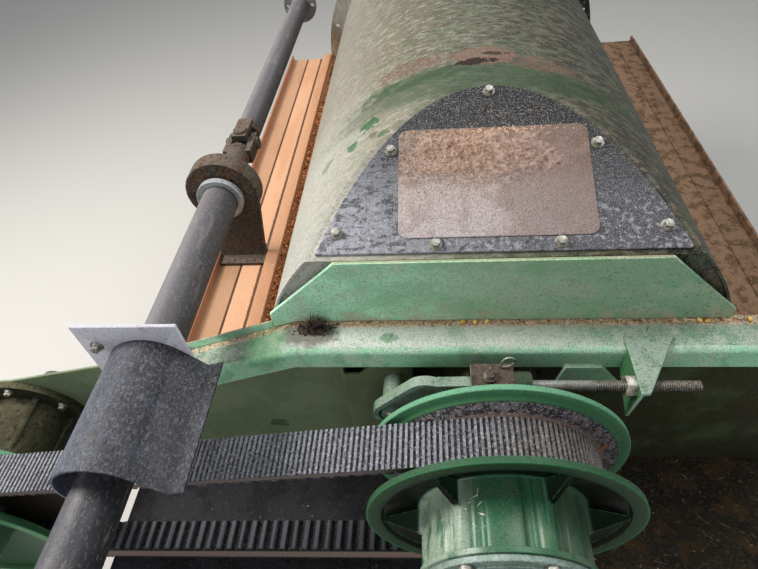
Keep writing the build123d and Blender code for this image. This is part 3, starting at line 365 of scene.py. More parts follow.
coverLook = {
    "tone": ("x", [(-0.27, 176, 176, 184), (-0.15, 140, 140, 146), (0.05, 92, 92, 96), (0.27, 76, 76, 80)]),
    "shades": [("y", [(-1.25, 255, 255, 255), (-1.17, 236, 236, 236), (-1.1, 170, 170, 170),
                      (-1.04, 96, 96, 98), (-0.98, 88, 88, 90)])],
    "layers": [
        layer((38, 38, 44), 62, 0.36, 0.08, 0.72, stretch=(0.7, 1.3, 1.3), bend=0.6, zone=("x", 0.06, -0.06)),
        layer((36, 36, 40), 170, 0.26, 0.1, 0.5, detail=3.0),
        layer((190, 190, 198), 130, 0.24, 0.12, 0.45, zone=("y", -1.14, -1.2)),
        grains((206, 202, 200), 700, 0.2, 0.08, 0.55, height=0.6),
        layer((150, 136, 120), 240, 0.12, 0.05, 0.6, zone=("y", -1.06, -1.03), height=0.6),
        grains((20, 20, 22), 640, 0.2, 0.08, 0.45),
    ],
    "worn": (150, 148, 152), "rough": 0.62, "grit": 520, "gritHeight": 0.5,
}
plateLook = {
    "tone": ("y", [(-1.225, 190, 179, 178), (-1.15, 184, 170, 165), (-1.12, 170, 148, 136),
                   (-1.06, 164, 142, 131)]),
    "shades": [("x", [(-0.139, 255, 255, 255), (0.0, 250, 248, 248), (0.03, 214, 206, 204),
                      (0.139, 190, 180, 176)])],
    "layers": [
        layer((152, 134, 124), 24, 0.34, 0.12, 0.45, bend=0.8, height=0.5),
        layer((186, 152, 130), 38, 0.52, 0.14, 0.6, zone=("y", -1.172, -1.12), zone2=("x", 0.1, 0.02),
              height=1.2),
        layer((118, 92, 76), 120, 0.3, 0.08, 0.5, zone=("y", -1.165, -1.125), zone2=("x", 0.11, 0.0),
              height=-1.6, bend=1.2),
        layer((220, 192, 168), 220, 0.24, 0.08, 0.5, zone=("y", -1.165, -1.125), zone2=("x", 0.02, -0.03),
              height=1.4),
        grains((204, 192, 186), 560, 0.24, 0.12, 0.3, height=0.5),
        grains((112, 100, 92), 460, 0.24, 0.12, 0.35, height=-0.4),
    ],
    "marks": [mark((140, 122, 110), (0.012, -1.17), 0.012, 0.006, 0.5, across=(0.8, 1.3), ragged=0.03,
                   height=0.8)],
    "worn": (206, 190, 176), "rough": 0.85, "glint": 0.12, "depth": 0.0014,
}
apronLook = {
    # painted light: pale and bright on the left, where more light falls, darker towards the right
    "tone": ("x", [(-0.36, 200, 255, 220), (-0.2, 188, 246, 204), (0.0, 174, 208, 170), (0.2, 140, 182, 144),
                   (0.36, 124, 168, 128)]),
    "faces": [("up", 0.75, 0.95, (164, 146, 118))],
    "layers": [
        layer((100, 172, 114), 9, 0.34, 0.2, 0.45, stretch=(1, 1, 1.6)),
        layer((190, 196, 172), 24, 0.3, 0.18, 0.4, height=0.3),
        grains((226, 234, 210), 420, 0.28, 0.1, 0.55, height=0.8),
        layer((124, 104, 78), 260, 0.08, 0.05, 0.4, zone=("x", -0.25, 0.25), height=1.0),
        grains((84, 118, 86), 420, 0.2, 0.1, 0.4),
        layer((196, 176, 148), 34, 0.4, 0.16, 0.6, zone=("z", 0.165, 0.128), height=0.6),
    ],
    "worn": (196, 232, 196), "rough": 0.55, "grit": 480, "gritHeight": 0.5,
}
beamLook = {
    "tone": ("x", [(-0.52, 106, 136, 112), (-0.36, 122, 144, 124), (-0.28, 204, 214, 202),
                   (0.0, 196, 206, 196), (0.22, 128, 160, 136), (0.6, 104, 134, 106)]),
    # the first face colour is a painted highlight, a pale line along the bend of the ledge's front edge; the
    # second is the green of the lip
    "faces": [("back", -0.35, -0.45, (168, 216, 180)), ("back", -0.62, -0.74, (160, 222, 182))],
    "layers": [
        layer((90, 152, 102), 16, 0.24, 0.1, 0.45, bend=0.8),
        layer((210, 210, 200), 40, 0.34, 0.18, 0.4, up=0.05, height=0.4),
        grains((222, 220, 208), 440, 0.24, 0.08, 0.45, up=0.03, height=0.8),
        layer((100, 96, 76), 420, 0.12, 0.06, 0.3, up=0.03, height=0.6),
        grains((66, 96, 70), 460, 0.2, 0.1, 0.35),
        layer((224, 198, 166), 200, 0.66, 0.1, 0.92, zone=("y", -1.2715, -1.2655), zone2=("up", 0.4, 0.8),
              height=1.0),
        layer((128, 84, 64), 260, 0.3, 0.08, 0.75, zone=("y", -1.27, -1.264), zone2=("up", 0.4, 0.8)),
    ],
    "marks": [
        mark((84, 72, 66), (-0.285, -1.276, 0.127), 0.026, 0.02, 0.7, across=(1.3, 0.8, 0), ragged=0.03),
        mark((72, 142, 84), (-0.36, -1.29, 0.11), 0.03, 0.02, 0.5, ragged=0.05),
        mark((66, 136, 80), (-0.16, -1.29, 0.127), 0.01, 0.006, 0.6, across=(1, 0.7, 0)),
    ],
    "worn": (160, 210, 170), "grit": 480, "gritHeight": 0.5,
}
wallLook = {
    # painted shade: darker in the middle and to the right, where shade falls under the ledge and among the
    # parts; to the right it is partly dirt
    "tone": ("x", [(-0.9, 128, 144, 110), (-0.3, 124, 138, 106), (-0.16, 74, 82, 54), (-0.05, 50, 55, 32),
                   (0.25, 50, 54, 32), (0.6, 40, 42, 24)]),
    "layers": [
        layer((84, 98, 72), 8, 0.34, 0.2, 0.4),
        layer((140, 146, 114), 30, 0.22, 0.18, 0.25, stretch=(1, 1, 0.4), zone=("x", 0.1, -0.1)),
        layer((52, 42, 26), 18, 0.3, 0.14, 0.6, zone=("x", 0.1, 0.35), height=0.4),
        grains((140, 140, 110), 420, 0.12, 0.07, 0.3),
        grains((44, 50, 34), 380, 0.16, 0.07, 0.4),
    ],
    "marks": [mark((44, 60, 40), (-0.409, -1.26, -0.2), 0.012, 0.004, 0.6, across=(1.4, 0, 1), ragged=0.03)],
}
greenLook = {  # small green steel pieces: adjuster arm and gusset
    "tone": ("x", [(-0.25, 104, 132, 104), (0.0, 88, 120, 90), (0.2, 50, 112, 62), (0.26, 46, 104, 58)]),
    "faces": [("up", 0.4, 0.9, (140, 158, 142)), ("back", -0.3, -0.45, (150, 178, 160))],
    "layers": [
        layer((60, 108, 70), 30, 0.3, 0.12, 0.5),
        grains((176, 188, 172), 460, 0.2, 0.08, 0.35, up=0.03, height=0.6),
        grains((40, 60, 42), 400, 0.24, 0.08, 0.45),
        layer((86, 76, 56), 240, 0.08, 0.05, 0.4, height=0.5),
    ],
    "worn": (160, 190, 162), "rough": 0.5, "glint": 0.4,
}
onBarrel = ("radius", 0.118, 0.112)
nearHalfLook = {  # rim, dished web and barrel of the sheave half in front
    # painted shade: the dished web between barrel and rim nearly black and the front face of the rim dark,
    # where shade falls
    "tone": ("radius", [(0.06, 50, 80, 60), (0.095, 54, 112, 80), (0.114, 50, 100, 72), (0.119, 10, 15, 10),
                        (0.15, 8, 12, 8), (0.168, 14, 22, 14), (0.1725, 40, 62, 42), (0.186, 44, 70, 46),
                        (0.189, 50, 120, 72), (0.19, 54, 124, 76)]),
    "faces": [("facing", 0.45, 0.2, (58, 92, 66), "radius", 0.117, 0.12)],
    "layers": [
        # partly dust, partly painted light: the barrel paler on its lit left side
        layer((188, 202, 182), 40, 0.74, 0.16, 0.8, stretch=(1, 0.4, 1), zone=("x", -0.03, -0.075),
              zone2=onBarrel),
        layer((104, 116, 92), 26, 0.24, 0.18, 0.3, up=0.06, height=0.3, zone2=onBarrel),
        grains((150, 168, 148), 440, 0.14, 0.08, 0.3, height=0.6, zone2=onBarrel),
        grains((104, 128, 104), 460, 0.16, 0.08, 0.25, height=0.6, zone2=("radius", 0.17, 0.174)),
        grains((20, 32, 22), 380, 0.2, 0.08, 0.35),
        layer((120, 128, 104), 40, 0.54, 0.16, 0.5, stretch=(1, 0.4, 1), zone=("x", 0.02, 0.08),
              zone2=onBarrel),
    ],
    "marks": [mark((14, 14, 12), (0.0675, -1.58, 0.118), 0.004, 0.002, 0.9, ragged=0.006)],
    # the green along the rounded edges is a painted highlight on the rim's lit edge
    "worn": (70, 132, 88), "rough": 0.4, "shine": (0.5, "radius", 0.122, 0.114), "glint": 0.08,
}
farHalfLook = {
    "tone": ("radius", [(0.06, 90, 76, 68), (0.141, 150, 122, 106), (0.149, 152, 124, 108),
                        (0.153, 120, 114, 118), (0.168, 118, 112, 116), (0.1715, 70, 100, 76),
                        (0.174, 64, 116, 76), (0.182, 76, 130, 92), (0.1885, 84, 140, 102),
                        (0.19, 104, 156, 122)]),
    "layers": [
        layer((34, 30, 38), 120, 0.52, 0.06, 0.85, zone=("radius", 0.174, 0.17),
              zone2=("radius", 0.146, 0.154), height=0.5),
        grains((196, 184, 182), 340, 0.26, 0.06, 0.6, height=0.8, zone=("radius", 0.173, 0.168)),
        layer((206, 112, 40), 90, 0.16, 0.05, 0.7, zone=("x", 0.1, 0.15), zone2=("radius", 0.165, 0.158)),
        grains((36, 46, 34), 380, 0.18, 0.07, 0.4),
    ],
}
driverNearLook = dict(nearHalfLook, tone=("driverRadius", [
    (0.03, 54, 82, 60), (0.09, 62, 100, 74), (0.155, 54, 88, 60), (0.163, 78, 134, 90),
    (0.178, 86, 142, 98)]))
driverFarLook = dict(farHalfLook, tone=("driverRadius", [
    (0.03, 90, 78, 70), (0.146, 106, 88, 80), (0.15, 84, 82, 88), (0.16, 82, 84, 86),
    (0.163, 64, 108, 74), (0.178, 110, 160, 128)]),
    layers=[film for film in farHalfLook["layers"] if not film["zone"]])
cupLook = {
    # painted light: lighter on top, darker underneath
    "tone": ("z", [(-0.11, 66, 82, 68), (0.0, 84, 106, 92), (0.11, 132, 152, 142)]),
    "layers": [
        layer((60, 96, 70), 24, 0.36, 0.18, 0.35),
        layer((186, 192, 186), 90, 0.22, 0.12, 0.3, up=0.05),
        grains((190, 198, 190), 460, 0.16, 0.08, 0.35),
        grains((40, 48, 38), 400, 0.22, 0.08, 0.4),
    ],
    "worn": (190, 200, 188), "rough": 0.45, "metal": 0.1, "glint": 0.4,
}
castLook = {
    # painted light: lighter on faces that look up, darker on faces that look down
    "tone": ("up", [(-1.0, 34, 36, 26), (0.2, 48, 56, 38), (1.0, 84, 84, 62)]),
    "layers": [
        layer((70, 58, 40), 40, 0.36, 0.12, 0.6, up=0.06, height=0.6),
        grains((110, 108, 84), 240, 0.14, 0.05, 0.5),
        layer((24, 26, 20), 120, 0.2, 0.06, 0.6, detail=3.0),
    ],
    "rough": 0.7, "depth": 0.0012,
}
strapLook = {
    "tone": ("up", [(-0.4, 80, 76, 72), (0.35, 84, 76, 70), (0.75, 76, 66, 58), (1.0, 84, 72, 64)]),
    "faces": [("sideways", -0.45, -0.85, (134, 144, 132)), ("back", -0.6, -0.9, (84, 78, 72))],
    "layers": [
        layer((46, 38, 34), 50, 0.34, 0.12, 0.65, height=0.6),
        grains((150, 134, 118), 440, 0.22, 0.07, 0.5, height=0.8),
        layer((70, 96, 72), 34, 0.5, 0.14, 0.7, zone=("x", 0.018, 0.026)),
    ],
    "worn": (128, 122, 112), "rough": 0.7, "depth": 0.001,
}
rodLook = {
    # painted light: lighter on faces that look up, darker on faces that look down
    "tone": ("up", [(-1.0, 58, 56, 52), (0.2, 104, 102, 98), (1.0, 142, 142, 138)]),
    "shades": [("x", [(0.13, 255, 255, 255), (0.136, 196, 192, 186), (0.272, 190, 180, 168)])],
    "layers": [
        layer((92, 84, 72), 60, 0.3, 0.12, 0.5),
        grains((190, 188, 180), 420, 0.16, 0.07, 0.4),
        layer((60, 48, 36), 260, 0.16, 0.06, 0.5),
    ],
    "rough": 0.5, "metal": 0.35,
}
zincLook = {  # nuts and bolt heads
    # painted light: lighter on faces that look up, darker on faces that look down
    "tone": ("up", [(-1.0, 84, 82, 72), (0.0, 132, 129, 116), (1.0, 182, 180, 170)]),
    "layers": [
        layer((104, 88, 60), 120, 0.34, 0.12, 0.6),
        grains((80, 78, 66), 360, 0.24, 0.07, 0.5),
        layer((214, 210, 198), 260, 0.14, 0.06, 0.5),
    ],
    "worn": (190, 186, 170), "rough": 0.42, "metal": 0.35,
}
steelLook = {
    "tone": ("y", [(-1.6, 120, 118, 112), (-1.1, 132, 130, 124)]),
    "layers": [
        layer((104, 82, 60), 40, 0.3, 0.14, 0.6),
        layer((176, 174, 168), 160, 0.2, 0.08, 0.5, stretch=(1, 6, 1)),
    ],
    "rough": 0.45, "metal": 0.6,
}
guardLook = {
    # painted reflection: a pale blue sheen on the left end, then dark grey
    "tone": ("x", [(-0.54, 112, 120, 142), (-0.505, 84, 88, 98), (-0.45, 45, 45, 48), (-0.38, 50, 50, 54)]),
    "shades": [("y", [(-1.561, 255, 255, 255), (-1.5, 232, 232, 236), (-1.383, 214, 212, 212)])],
    "layers": [
        layer((84, 86, 94), 24, 0.36, 0.2, 0.4, bend=0.8),
        layer((30, 30, 36), 210, 0.36, 0.14, 0.5, detail=3.0, bend=0.8, stretch=(1, 0.7, 1)),
        layer((140, 142, 152), 300, 0.3, 0.14, 0.4, detail=3.0, bend=0.8, stretch=(1, 0.7, 1), height=0.4),
        grains((160, 160, 168), 760, 0.2, 0.1, 0.25, height=0.5),
        grains((20, 20, 24), 600, 0.24, 0.1, 0.4),
        layer((112, 96, 82), 110, 0.05, 0.05, 0.4, height=0.5),
    ],
    "worn": (160, 162, 172), "rough": 0.45, "glint": 0.35, "grit": 520, "gritHeight": 0.4,
}
bracketLook = {
    "tone": ("up", [(-0.5, 170, 166, 172), (0.3, 244, 242, 252), (1.0, 190, 188, 198)]),
    "layers": [
        layer((206, 202, 208), 30, 0.3, 0.16, 0.4),
        grains((240, 238, 244), 440, 0.2, 0.08, 0.35, height=0.5),
        layer((120, 112, 114), 380, 0.2, 0.08, 0.35, detail=3.0),
        layer((160, 140, 120), 50, 0.1, 0.06, 0.4),
    ],
    "worn": (236, 234, 240), "rough": 0.5, "glint": 0.4,
}
tubeLook = {
    # painted light: lighter on faces that look left, towards the light, darker on faces that look right
    "tone": ("sideways", [(-1.0, 108, 104, 106), (-0.5, 124, 120, 122), (0.2, 92, 90, 94),
                          (1.0, 56, 54, 56)]),
    "shades": [("y", [(-1.75, 150, 152, 158), (-1.5, 190, 192, 196), (-1.35, 255, 255, 255),
                      (-0.9, 255, 252, 250)])],
    "layers": [
        layer((60, 62, 78), 10, 0.5, 0.24, 0.45, zone=("y", -1.3, -1.5)),
        layer((88, 82, 80), 30, 0.3, 0.16, 0.35, stretch=(1, 0.3, 1)),
        layer((150, 146, 146), 300, 0.18, 0.12, 0.28, detail=3.0, stretch=(1, 0.5, 1), height=0.3),
        grains((50, 46, 46), 440, 0.18, 0.1, 0.35),
        layer((150, 142, 134), 70, 0.1, 0.08, 0.25, stretch=(1, 0.2, 1)),
    ],
    "rough": 0.45, "glint": 0.4,
}
ironLook = {
    # painted light: lighter on faces that look up, darker on faces that look down
    "tone": ("up", [(-1.0, 44, 40, 34), (0.3, 74, 66, 58), (1.0, 104, 92, 82)]),
    "layers": [
        layer((98, 66, 44), 36, 0.32, 0.12, 0.6, height=0.5),
        grains((124, 114, 104), 220, 0.2, 0.06, 0.5, height=0.5),
        layer((34, 30, 28), 140, 0.24, 0.06, 0.6, detail=3.0),
    ],
    "worn": (130, 116, 102), "rough": 0.7, "depth": 0.0012,
}
ringLook = {
    # painted light: lighter on faces that look up, darker on faces that look down
    "tone": ("up", [(-1.0, 120, 122, 124), (0.4, 196, 200, 204), (1.0, 226, 230, 232)]),
    "layers": [layer((130, 132, 132), 60, 0.25, 0.1, 0.5), layer((90, 84, 76), 200, 0.1, 0.05, 0.5)],
    "rough": 0.3, "metal": 0.6,
}
panLook = {
    "tone": ("x", [(-0.75, 46, 46, 54), (-0.1, 40, 40, 44), (0.2, 44, 38, 27), (0.6, 42, 36, 22)]),
    "layers": [
        layer((20, 20, 24), 16, 0.36, 0.14, 0.5),
        layer((72, 70, 72), 90, 0.2, 0.07, 0.45, height=0.6),
        grains((104, 94, 80), 420, 0.2, 0.08, 0.45, height=0.8),
        layer((84, 64, 40), 24, 0.34, 0.12, 0.6, zone=("x", -0.05, 0.2), height=0.5),
        layer((120, 98, 70), 150, 0.16, 0.06, 0.5, zone=("x", -0.05, 0.2), height=0.8),
    ],
    "rough": 0.7, "depth": 0.0012,
}

looks = {  # look, width of the rounded edge or 0 for the CAD mesh as it is, body, slot, then the nodes
    "drumPaint": (drumLook, 0, "housing", "housing_paint", "housing_upper", "housing_lower"),
    "ringPaint": (drumLook, 0.0012, "housing", "housing_paint", "rear_flange", "end_wall", "flat_panel"),
    "railPaint": (railLook, 0.0012, "housing", "rail_paint", "rail_left"),
    "rightRailPaint": (rightRailLook, 0.0012, "housing", "rail_paint", "rail_right"),
    "coverPaint": (coverLook, 0.001, "housing", "cover_paint", "access_cover"),
    "platePaint": (plateLook, 0.0008, "housing", "plate_paint", "cover_plate"),
    "apronPaint": (apronLook, 0.0014, "housing", "green_paint", "apron"),
    "beamPaint": (beamLook, 0.0014, "housing", "ledge_paint", "cross_beam"),
    "wallPaint": (wallLook, 0.0012, "housing", "wall_paint", "bulkhead", "support_plate"),
    "greenPaint": (greenLook, 0.0012, "housing", "green_paint", "adjuster_arm", "gusset"),
    "castPaint": (castLook, 0.0016, "housing", "cast_paint", "driven_bearing", "driver_bearing"),
    "strapPaint": (strapLook, 0.0012, "housing", "strap_steel", "clevis"),
    "zinc": (zincLook, 0.001, "housing", "fastener_steel", "adjuster_nut"),
    "pinSteel": (strapLook, 0.001, "housing", "fastener_steel", "clevis_pin"),
    "guardPaint": (guardLook, 0.001, "housing", "dark_paint", "shaft_guard"),
    "bracketPaint": (bracketLook, 0.0012, "housing", "dark_paint", "guard_bracket"),
    "panPaint": (panLook, 0, "housing", "dark_paint", "belt_pan"),
    "bearingIron": (ironLook, 0.0016, "housing", "bearing_iron", "shaft_bearing", "shaft_bracket"),
    "farHalfPaint": (farHalfLook, 0.001, "driven_sheave", "cone_paint", "driven_fixed_half"),
    "shaftSteel": (steelLook, 0.0012, "driven_sheave", "bare_steel", "driven_shaft", "rotor_coupling"),
    "nearHalfPaint": (nearHalfLook, 0.0014, "driven_half", "green_paint", "driven_moving_half"),
    "cupPaint": (cupLook, 0.0012, "driven_half", "green_paint", "spring_cup"),
    "cupZinc": (zincLook, 0.001, "driven_half", "fastener_steel", "cup_bolts"),
    "driverFarPaint": (driverFarLook, 0.0012, "driver_sheave", "cone_paint", "driver_fixed_half"),
    "driverSteel": (steelLook, 0.0012, "driver_sheave", "bare_steel", "driver_shaft"),
    "driverNearPaint": (driverNearLook, 0.0012, "driver_half", "green_paint", "driver_moving_half",
                        "actuator_cap"),
    "tubePaint": (tubeLook, 0, "drive_shaft", "dark_paint", "drive_tube"),
    "rearTubePaint": (tubeLook, 0.0012, "drive_shaft", "dark_paint", "rear_tube"),
    "jointIron": (ironLook, 0.0012, "drive_shaft", "forged_steel", "front_yoke", "cardan_joint"),
    "ringMetal": (ringLook, 0.001, "drive_shaft", "ring_metal", "shaft_ring"),
}
for paintName, (look, width, body, slot, *names) in looks.items():
    material = coat(paintName, look)
    for name in names:
        if width:
            rounded(name, body, material, width)
        else:
            dress(material, name)
print("coats done:", len(looks))

# Belt: one cross section extruded along its path, with ridges outside and cogs inside
belt = {
    "station": -1.464,
    "halfWidth": 0.03175,
    "side": tan(radians(13)),
    "ridges": 372,
    "ridgeHeight": 0.0028,
    "cogs": 138,
    "cogRoot": 0.0225,
    "cogDepth": 0.032,
    "drivenRadius": 0.146,
    "upperAngle": 100.13,
    "slackStart": 20.0,
    "slackRadius": 0.2124,
    "lowerAngle": -84.88,
    "driverRadius": 0.14694,
    "ridgeCorners": (0.0, 0.46, 0.54, 0.96),
    "cordDepth": 0.005,
    "cogFlank": 5.0,
    "cogValley": 0.6,
}
beltTints = {
    "run": (126, 128, 134),
    "arc": (118, 112, 108),
    "groove": (44, 44, 49),
    "arcDust": (140, 122, 106),
    "lowRun": (22, 22, 24),
    "cogTops": (92, 92, 98),
    "side": (104, 94, 90),
    "lowSide": (132, 112, 102),
}
beltZones = {  # where a tint starts and where it is full, in metres
    "arc": (-0.06, 0.06),
    "groove": (0.001, 0.0026),
    "lowRun": (-0.02, -0.12),
    "cogTops": (0.028, 0.0312),
    "side": (0.0035, 0.006),
    "sideEnd": (0.0225, 0.0205),
}
beltFilms = [  # noise scale and detail, where it starts and is full, strength, colour
    (26, 4.0, 0.42, 0.66, 0.5, (78, 78, 84)),
    (300, 3.0, 0.54, 0.62, 0.55, (186, 182, 178)),
    (200, 3.0, 0.46, 0.38, 0.6, (34, 34, 38)),
]
slackCentre = Vector((cos(radians(belt["slackStart"])), sin(radians(belt["slackStart"])))) * (
    belt["drivenRadius"] - belt["slackRadius"])
driverCentre = Vector(driverPlace)


def facing(angle):
    return Vector((cos(radians(angle)), sin(radians(angle))))


lowerStart = slackCentre + facing(belt["lowerAngle"]) * belt["slackRadius"]
lowerEnd = driverCentre + facing(belt["lowerAngle"]) * belt["driverRadius"]
upperStart = driverCentre + facing(belt["upperAngle"]) * belt["driverRadius"]
upperEnd = facing(belt["upperAngle"]) * belt["drivenRadius"]
beltLegs = [  # length, centre, radius, first angle; a run has no radius and goes from a point to a point
    (radians(belt["upperAngle"] - belt["slackStart"]) * belt["drivenRadius"], Vector((0, 0)),
     belt["drivenRadius"], belt["upperAngle"]),
    (radians(belt["slackStart"] - belt["lowerAngle"]) * belt["slackRadius"], slackCentre,
     belt["slackRadius"], belt["slackStart"]),
    ((lowerEnd - lowerStart).length, lowerStart, 0, lowerEnd),
    (radians(360 - belt["upperAngle"] + belt["lowerAngle"]) * belt["driverRadius"], driverCentre,
     belt["driverRadius"], belt["lowerAngle"]),
    ((upperEnd - upperStart).length, upperStart, 0, upperEnd),
]
beltLength = sum(leg[0] for leg in beltLegs)


def beltFrame(way):  # point on the outer line and the outward direction there
    for length, first, radius, last in beltLegs:
        if way <= length:
            break
        way -= length
    if radius:
        outward = facing(last - way / radius / radians(1))
        return first + outward * radius, outward
    ahead = (last - first).normalized()
    return first + ahead * way, Vector((-ahead.y, ahead.x))


def beltDepths(way):  # depths of the outer and inner faces
    ridge = (way / beltLength * belt["ridges"]) % 1
    cog = (way / beltLength * belt["cogs"]) % 1
    outer = 0.0 if ridge < 0.5 else belt["ridgeHeight"]
    inPitch = 0.5 - abs(cog - 0.5)
    rise = min(1.0, max(0.0, inPitch * belt["cogFlank"] - belt["cogValley"]))
    return outer, belt["cogRoot"] + (belt["cogDepth"] - belt["cogRoot"]) * rise


shape = bmesh.new()
wayLayer = shape.verts.layers.float.new("way")
depthLayer = shape.verts.layers.float.new("depth")
stations = belt["ridges"] * 4
loop = []
for number in range(stations):
    quarter = number % 4
    way = ((number // 4) + belt["ridgeCorners"][quarter]) * beltLength / belt["ridges"]
    outer, inner = beltDepths(way + 0.00001)
    point, outward = beltFrame(way)
    depths = (outer, belt["cordDepth"], belt["cogRoot"] - 0.001, inner)
    row = [(-1, d) for d in depths] + [(1, d) for d in reversed(depths)]
    if not loop:
        loop = [shape.verts.new((0, 0, 0)) for corner in row]
        edges = [shape.edges.new((loop[i], loop[(i + 1) % len(loop)])) for i in range(len(loop))]
        firstEdges = list(edges)
    else:
        made = bmesh.ops.extrude_edge_only(shape, edges=edges)
        newVerts = [v for v in made["geom"] if isinstance(v, bmesh.types.BMVert)]
        edges = [e for e in made["geom"] if isinstance(e, bmesh.types.BMEdge)
                 and e.verts[0] in newVerts and e.verts[1] in newVerts]
        loop = [next(e.other_vert(v) for e in v.link_edges if e.other_vert(v) in newVerts) for v in loop]
    for vert, (side, depth) in zip(loop, row):
        flat = point - outward * depth
        half = belt["halfWidth"] - depth * belt["side"]
        vert.co = (flat.x, belt["station"] + side * half, flat.y)
        vert[wayLayer] = way
        vert[depthLayer] = depth
bmesh.ops.bridge_loops(shape, edges=firstEdges + edges)
bmesh.ops.recalc_face_normals(shape, faces=shape.faces)

paint = Paint("beltRubber")
way = paint.attribute("way")
depth = paint.attribute("depth")
tones = {name: tint(*value) for name, value in beltTints.items()}
arc = paint.step(paint.x, *beltZones["arc"])  # dustier and browner where it bends round the front sheave
colour = paint.mix(arc, tones["run"], tones["arc"])
colour = paint.mix(paint.step(depth, *beltZones["groove"]), colour, tones["groove"])
for scale, detail, low, high, strength, film in beltFilms:
    colour = paint.mix(paint.step(paint.noise(scale, detail, 0.6), low, high) * strength, colour, tint(*film))
colour = paint.mix(arc * paint.step(paint.noise(90, 4.0, 0.6), 0.52, 0.6) * 0.4, colour, tones["arcDust"])
lowRun = paint.step(paint.z, *beltZones["lowRun"])
colour = paint.mix(lowRun * 0.75, colour, tones["lowRun"])
cogTops = paint.step(depth, *beltZones["cogTops"]) * lowRun
colour = paint.mix(cogTops * 0.65, colour, tones["cogTops"])
bareSide = paint.mix(lowRun, tones["side"], tones["lowSide"])
onSide = paint.step(depth, *beltZones["side"]) * paint.step(depth, *beltZones["sideEnd"])
colour = paint.mix(onSide, colour, bareSide)
beltPaint = paint.finish(colour, 0.75, paint.noise(420, 2.0, 0.6), 0.0004)
piece("beltRun", shape, beltPaint, "housing", smooth=28, replaces=("belt",))
print("belt done:", round(beltLength, 3), "m")

# Bolt heads: a hexagon on a flange, on the cover, the bearings, the arm and the guard's bracket
boltSize = {
    "across": 0.0115,
    "height": 0.0055,
    "edge": 0.0013,
    "flangeRadius": 0.0078,
    "flange": 0.0018,
    "washer": 0.0094,
    "taper": 0.93,
    "sides": 20,
}
boltPlaces = {
    "circle": 0.099,  # on the two bearing flanges
    "station": -1.269,
    "driven": (90, 150, 210, 270, 330),
    "driver": (30, 90, 150, 210, 270, 330),
    "single": (((-0.157, -1.376, 0.048), 0.4), ((-0.54, -1.383, 0.235), 0.2)),  # arm and bracket: place, turn
    "sunk": 0.004,  # from the middle of the cover's bolts to the foot of their heads
}
forward = (0, -1, 0)
slope = radians(23.3)  # of the cover
coverOut = Vector((0, -sin(slope), cos(slope)))
coverUp = Vector((0, cos(slope), sin(slope)))
coverFoot = Vector((0, -1.25, 0.255))  # front edge of the flat panel, on the middle line


def addShape(shape, mesh, place):  # a copy of a mesh set at a place
    before = len(shape.verts)
    shape.from_mesh(mesh)
    shape.verts.ensure_lookup_table()
    bmesh.ops.transform(shape, verts=shape.verts[before:], matrix=place)


def headMesh(size):  # one bolt head on its washer, standing on z 0
    shape = bmesh.new()
    hexagon = size["across"] / 2 / cos(pi / 6)
    bmesh.ops.create_cone(shape, cap_ends=True, segments=6, radius1=hexagon, radius2=hexagon,
                          depth=size["height"])
    bmesh.ops.translate(shape, verts=shape.verts, vec=(0, 0, size["flange"] * 2 + size["height"] / 2))
    top = [e for e in shape.edges if all(v.co.z > size["height"] for v in e.verts)]
    bmesh.ops.bevel(shape, geom=top, offset=size["edge"], offset_type="OFFSET", segments=2, profile=0.5,
                    affect="EDGES", material=-1)
    for radius, low in ((size["flangeRadius"], size["flange"]), (size["washer"], 0)):
        made = bmesh.ops.create_cone(shape, cap_ends=True, segments=size["sides"], radius1=radius,
                                     radius2=radius * size["taper"], depth=size["flange"])
        bmesh.ops.translate(shape, verts=made["verts"], vec=(0, 0, low + size["flange"] / 2))
    return meshOf("boltHead", shape)


def standing(place, outward, turn=0.0, tilt=0.0):  # a matrix that sets z 0 on a place, facing outward
    return (Matrix.Translation(place) @ Vector(outward).to_track_quat("Z", "Y").to_matrix().to_4x4()
            @ Matrix.Rotation(turn, 4, "Z") @ Matrix.Rotation(tilt, 4, "X"))


def islands(name):  # the middles of a node's separate solids, in the order of its corners
    shape = cadShape(name)
    left, middles = set(shape.verts), []
    for first in shape.verts:
        if first not in left:
            continue
        left.discard(first)
        group, edge = [], [first]
        while edge:
            vert = edge.pop()
            group.append(vert)
            for link in vert.link_edges:
                other = link.other_vert(vert)
                if other in left:
                    left.discard(other)
                    edge.append(other)
        middles.append(sum((v.co for v in group), Vector()) / len(group))
    shape.free()
    return middles


head = headMesh(boltSize)
boltPaint = coat("boltZinc", zincLook)
shape = bmesh.new()
for middle in islands("cover_bolts"):
    addShape(shape, head, standing(middle - coverOut * boltPlaces["sunk"], coverOut, random.uniform(0, 1)))
piece("coverBoltHeads", shape, boltPaint, "housing", smooth=30, replaces=("cover_bolts",))
shape = bmesh.new()
for centre, turns in (((0, 0), boltPlaces["driven"]), (driverPlace, boltPlaces["driver"])):
    for turn in turns:
        spoke = facing(turn) * boltPlaces["circle"]
        place = Vector((centre[0] + spoke.x, boltPlaces["station"], centre[1] + spoke.y))
        addShape(shape, head, standing(place, forward, random.uniform(0, 1)))
for place, turn in boltPlaces["single"]:
    addShape(shape, head, standing(place, forward, turn))
piece("frontBoltHeads", shape, boltPaint, "housing", smooth=30)
print("bolts done")

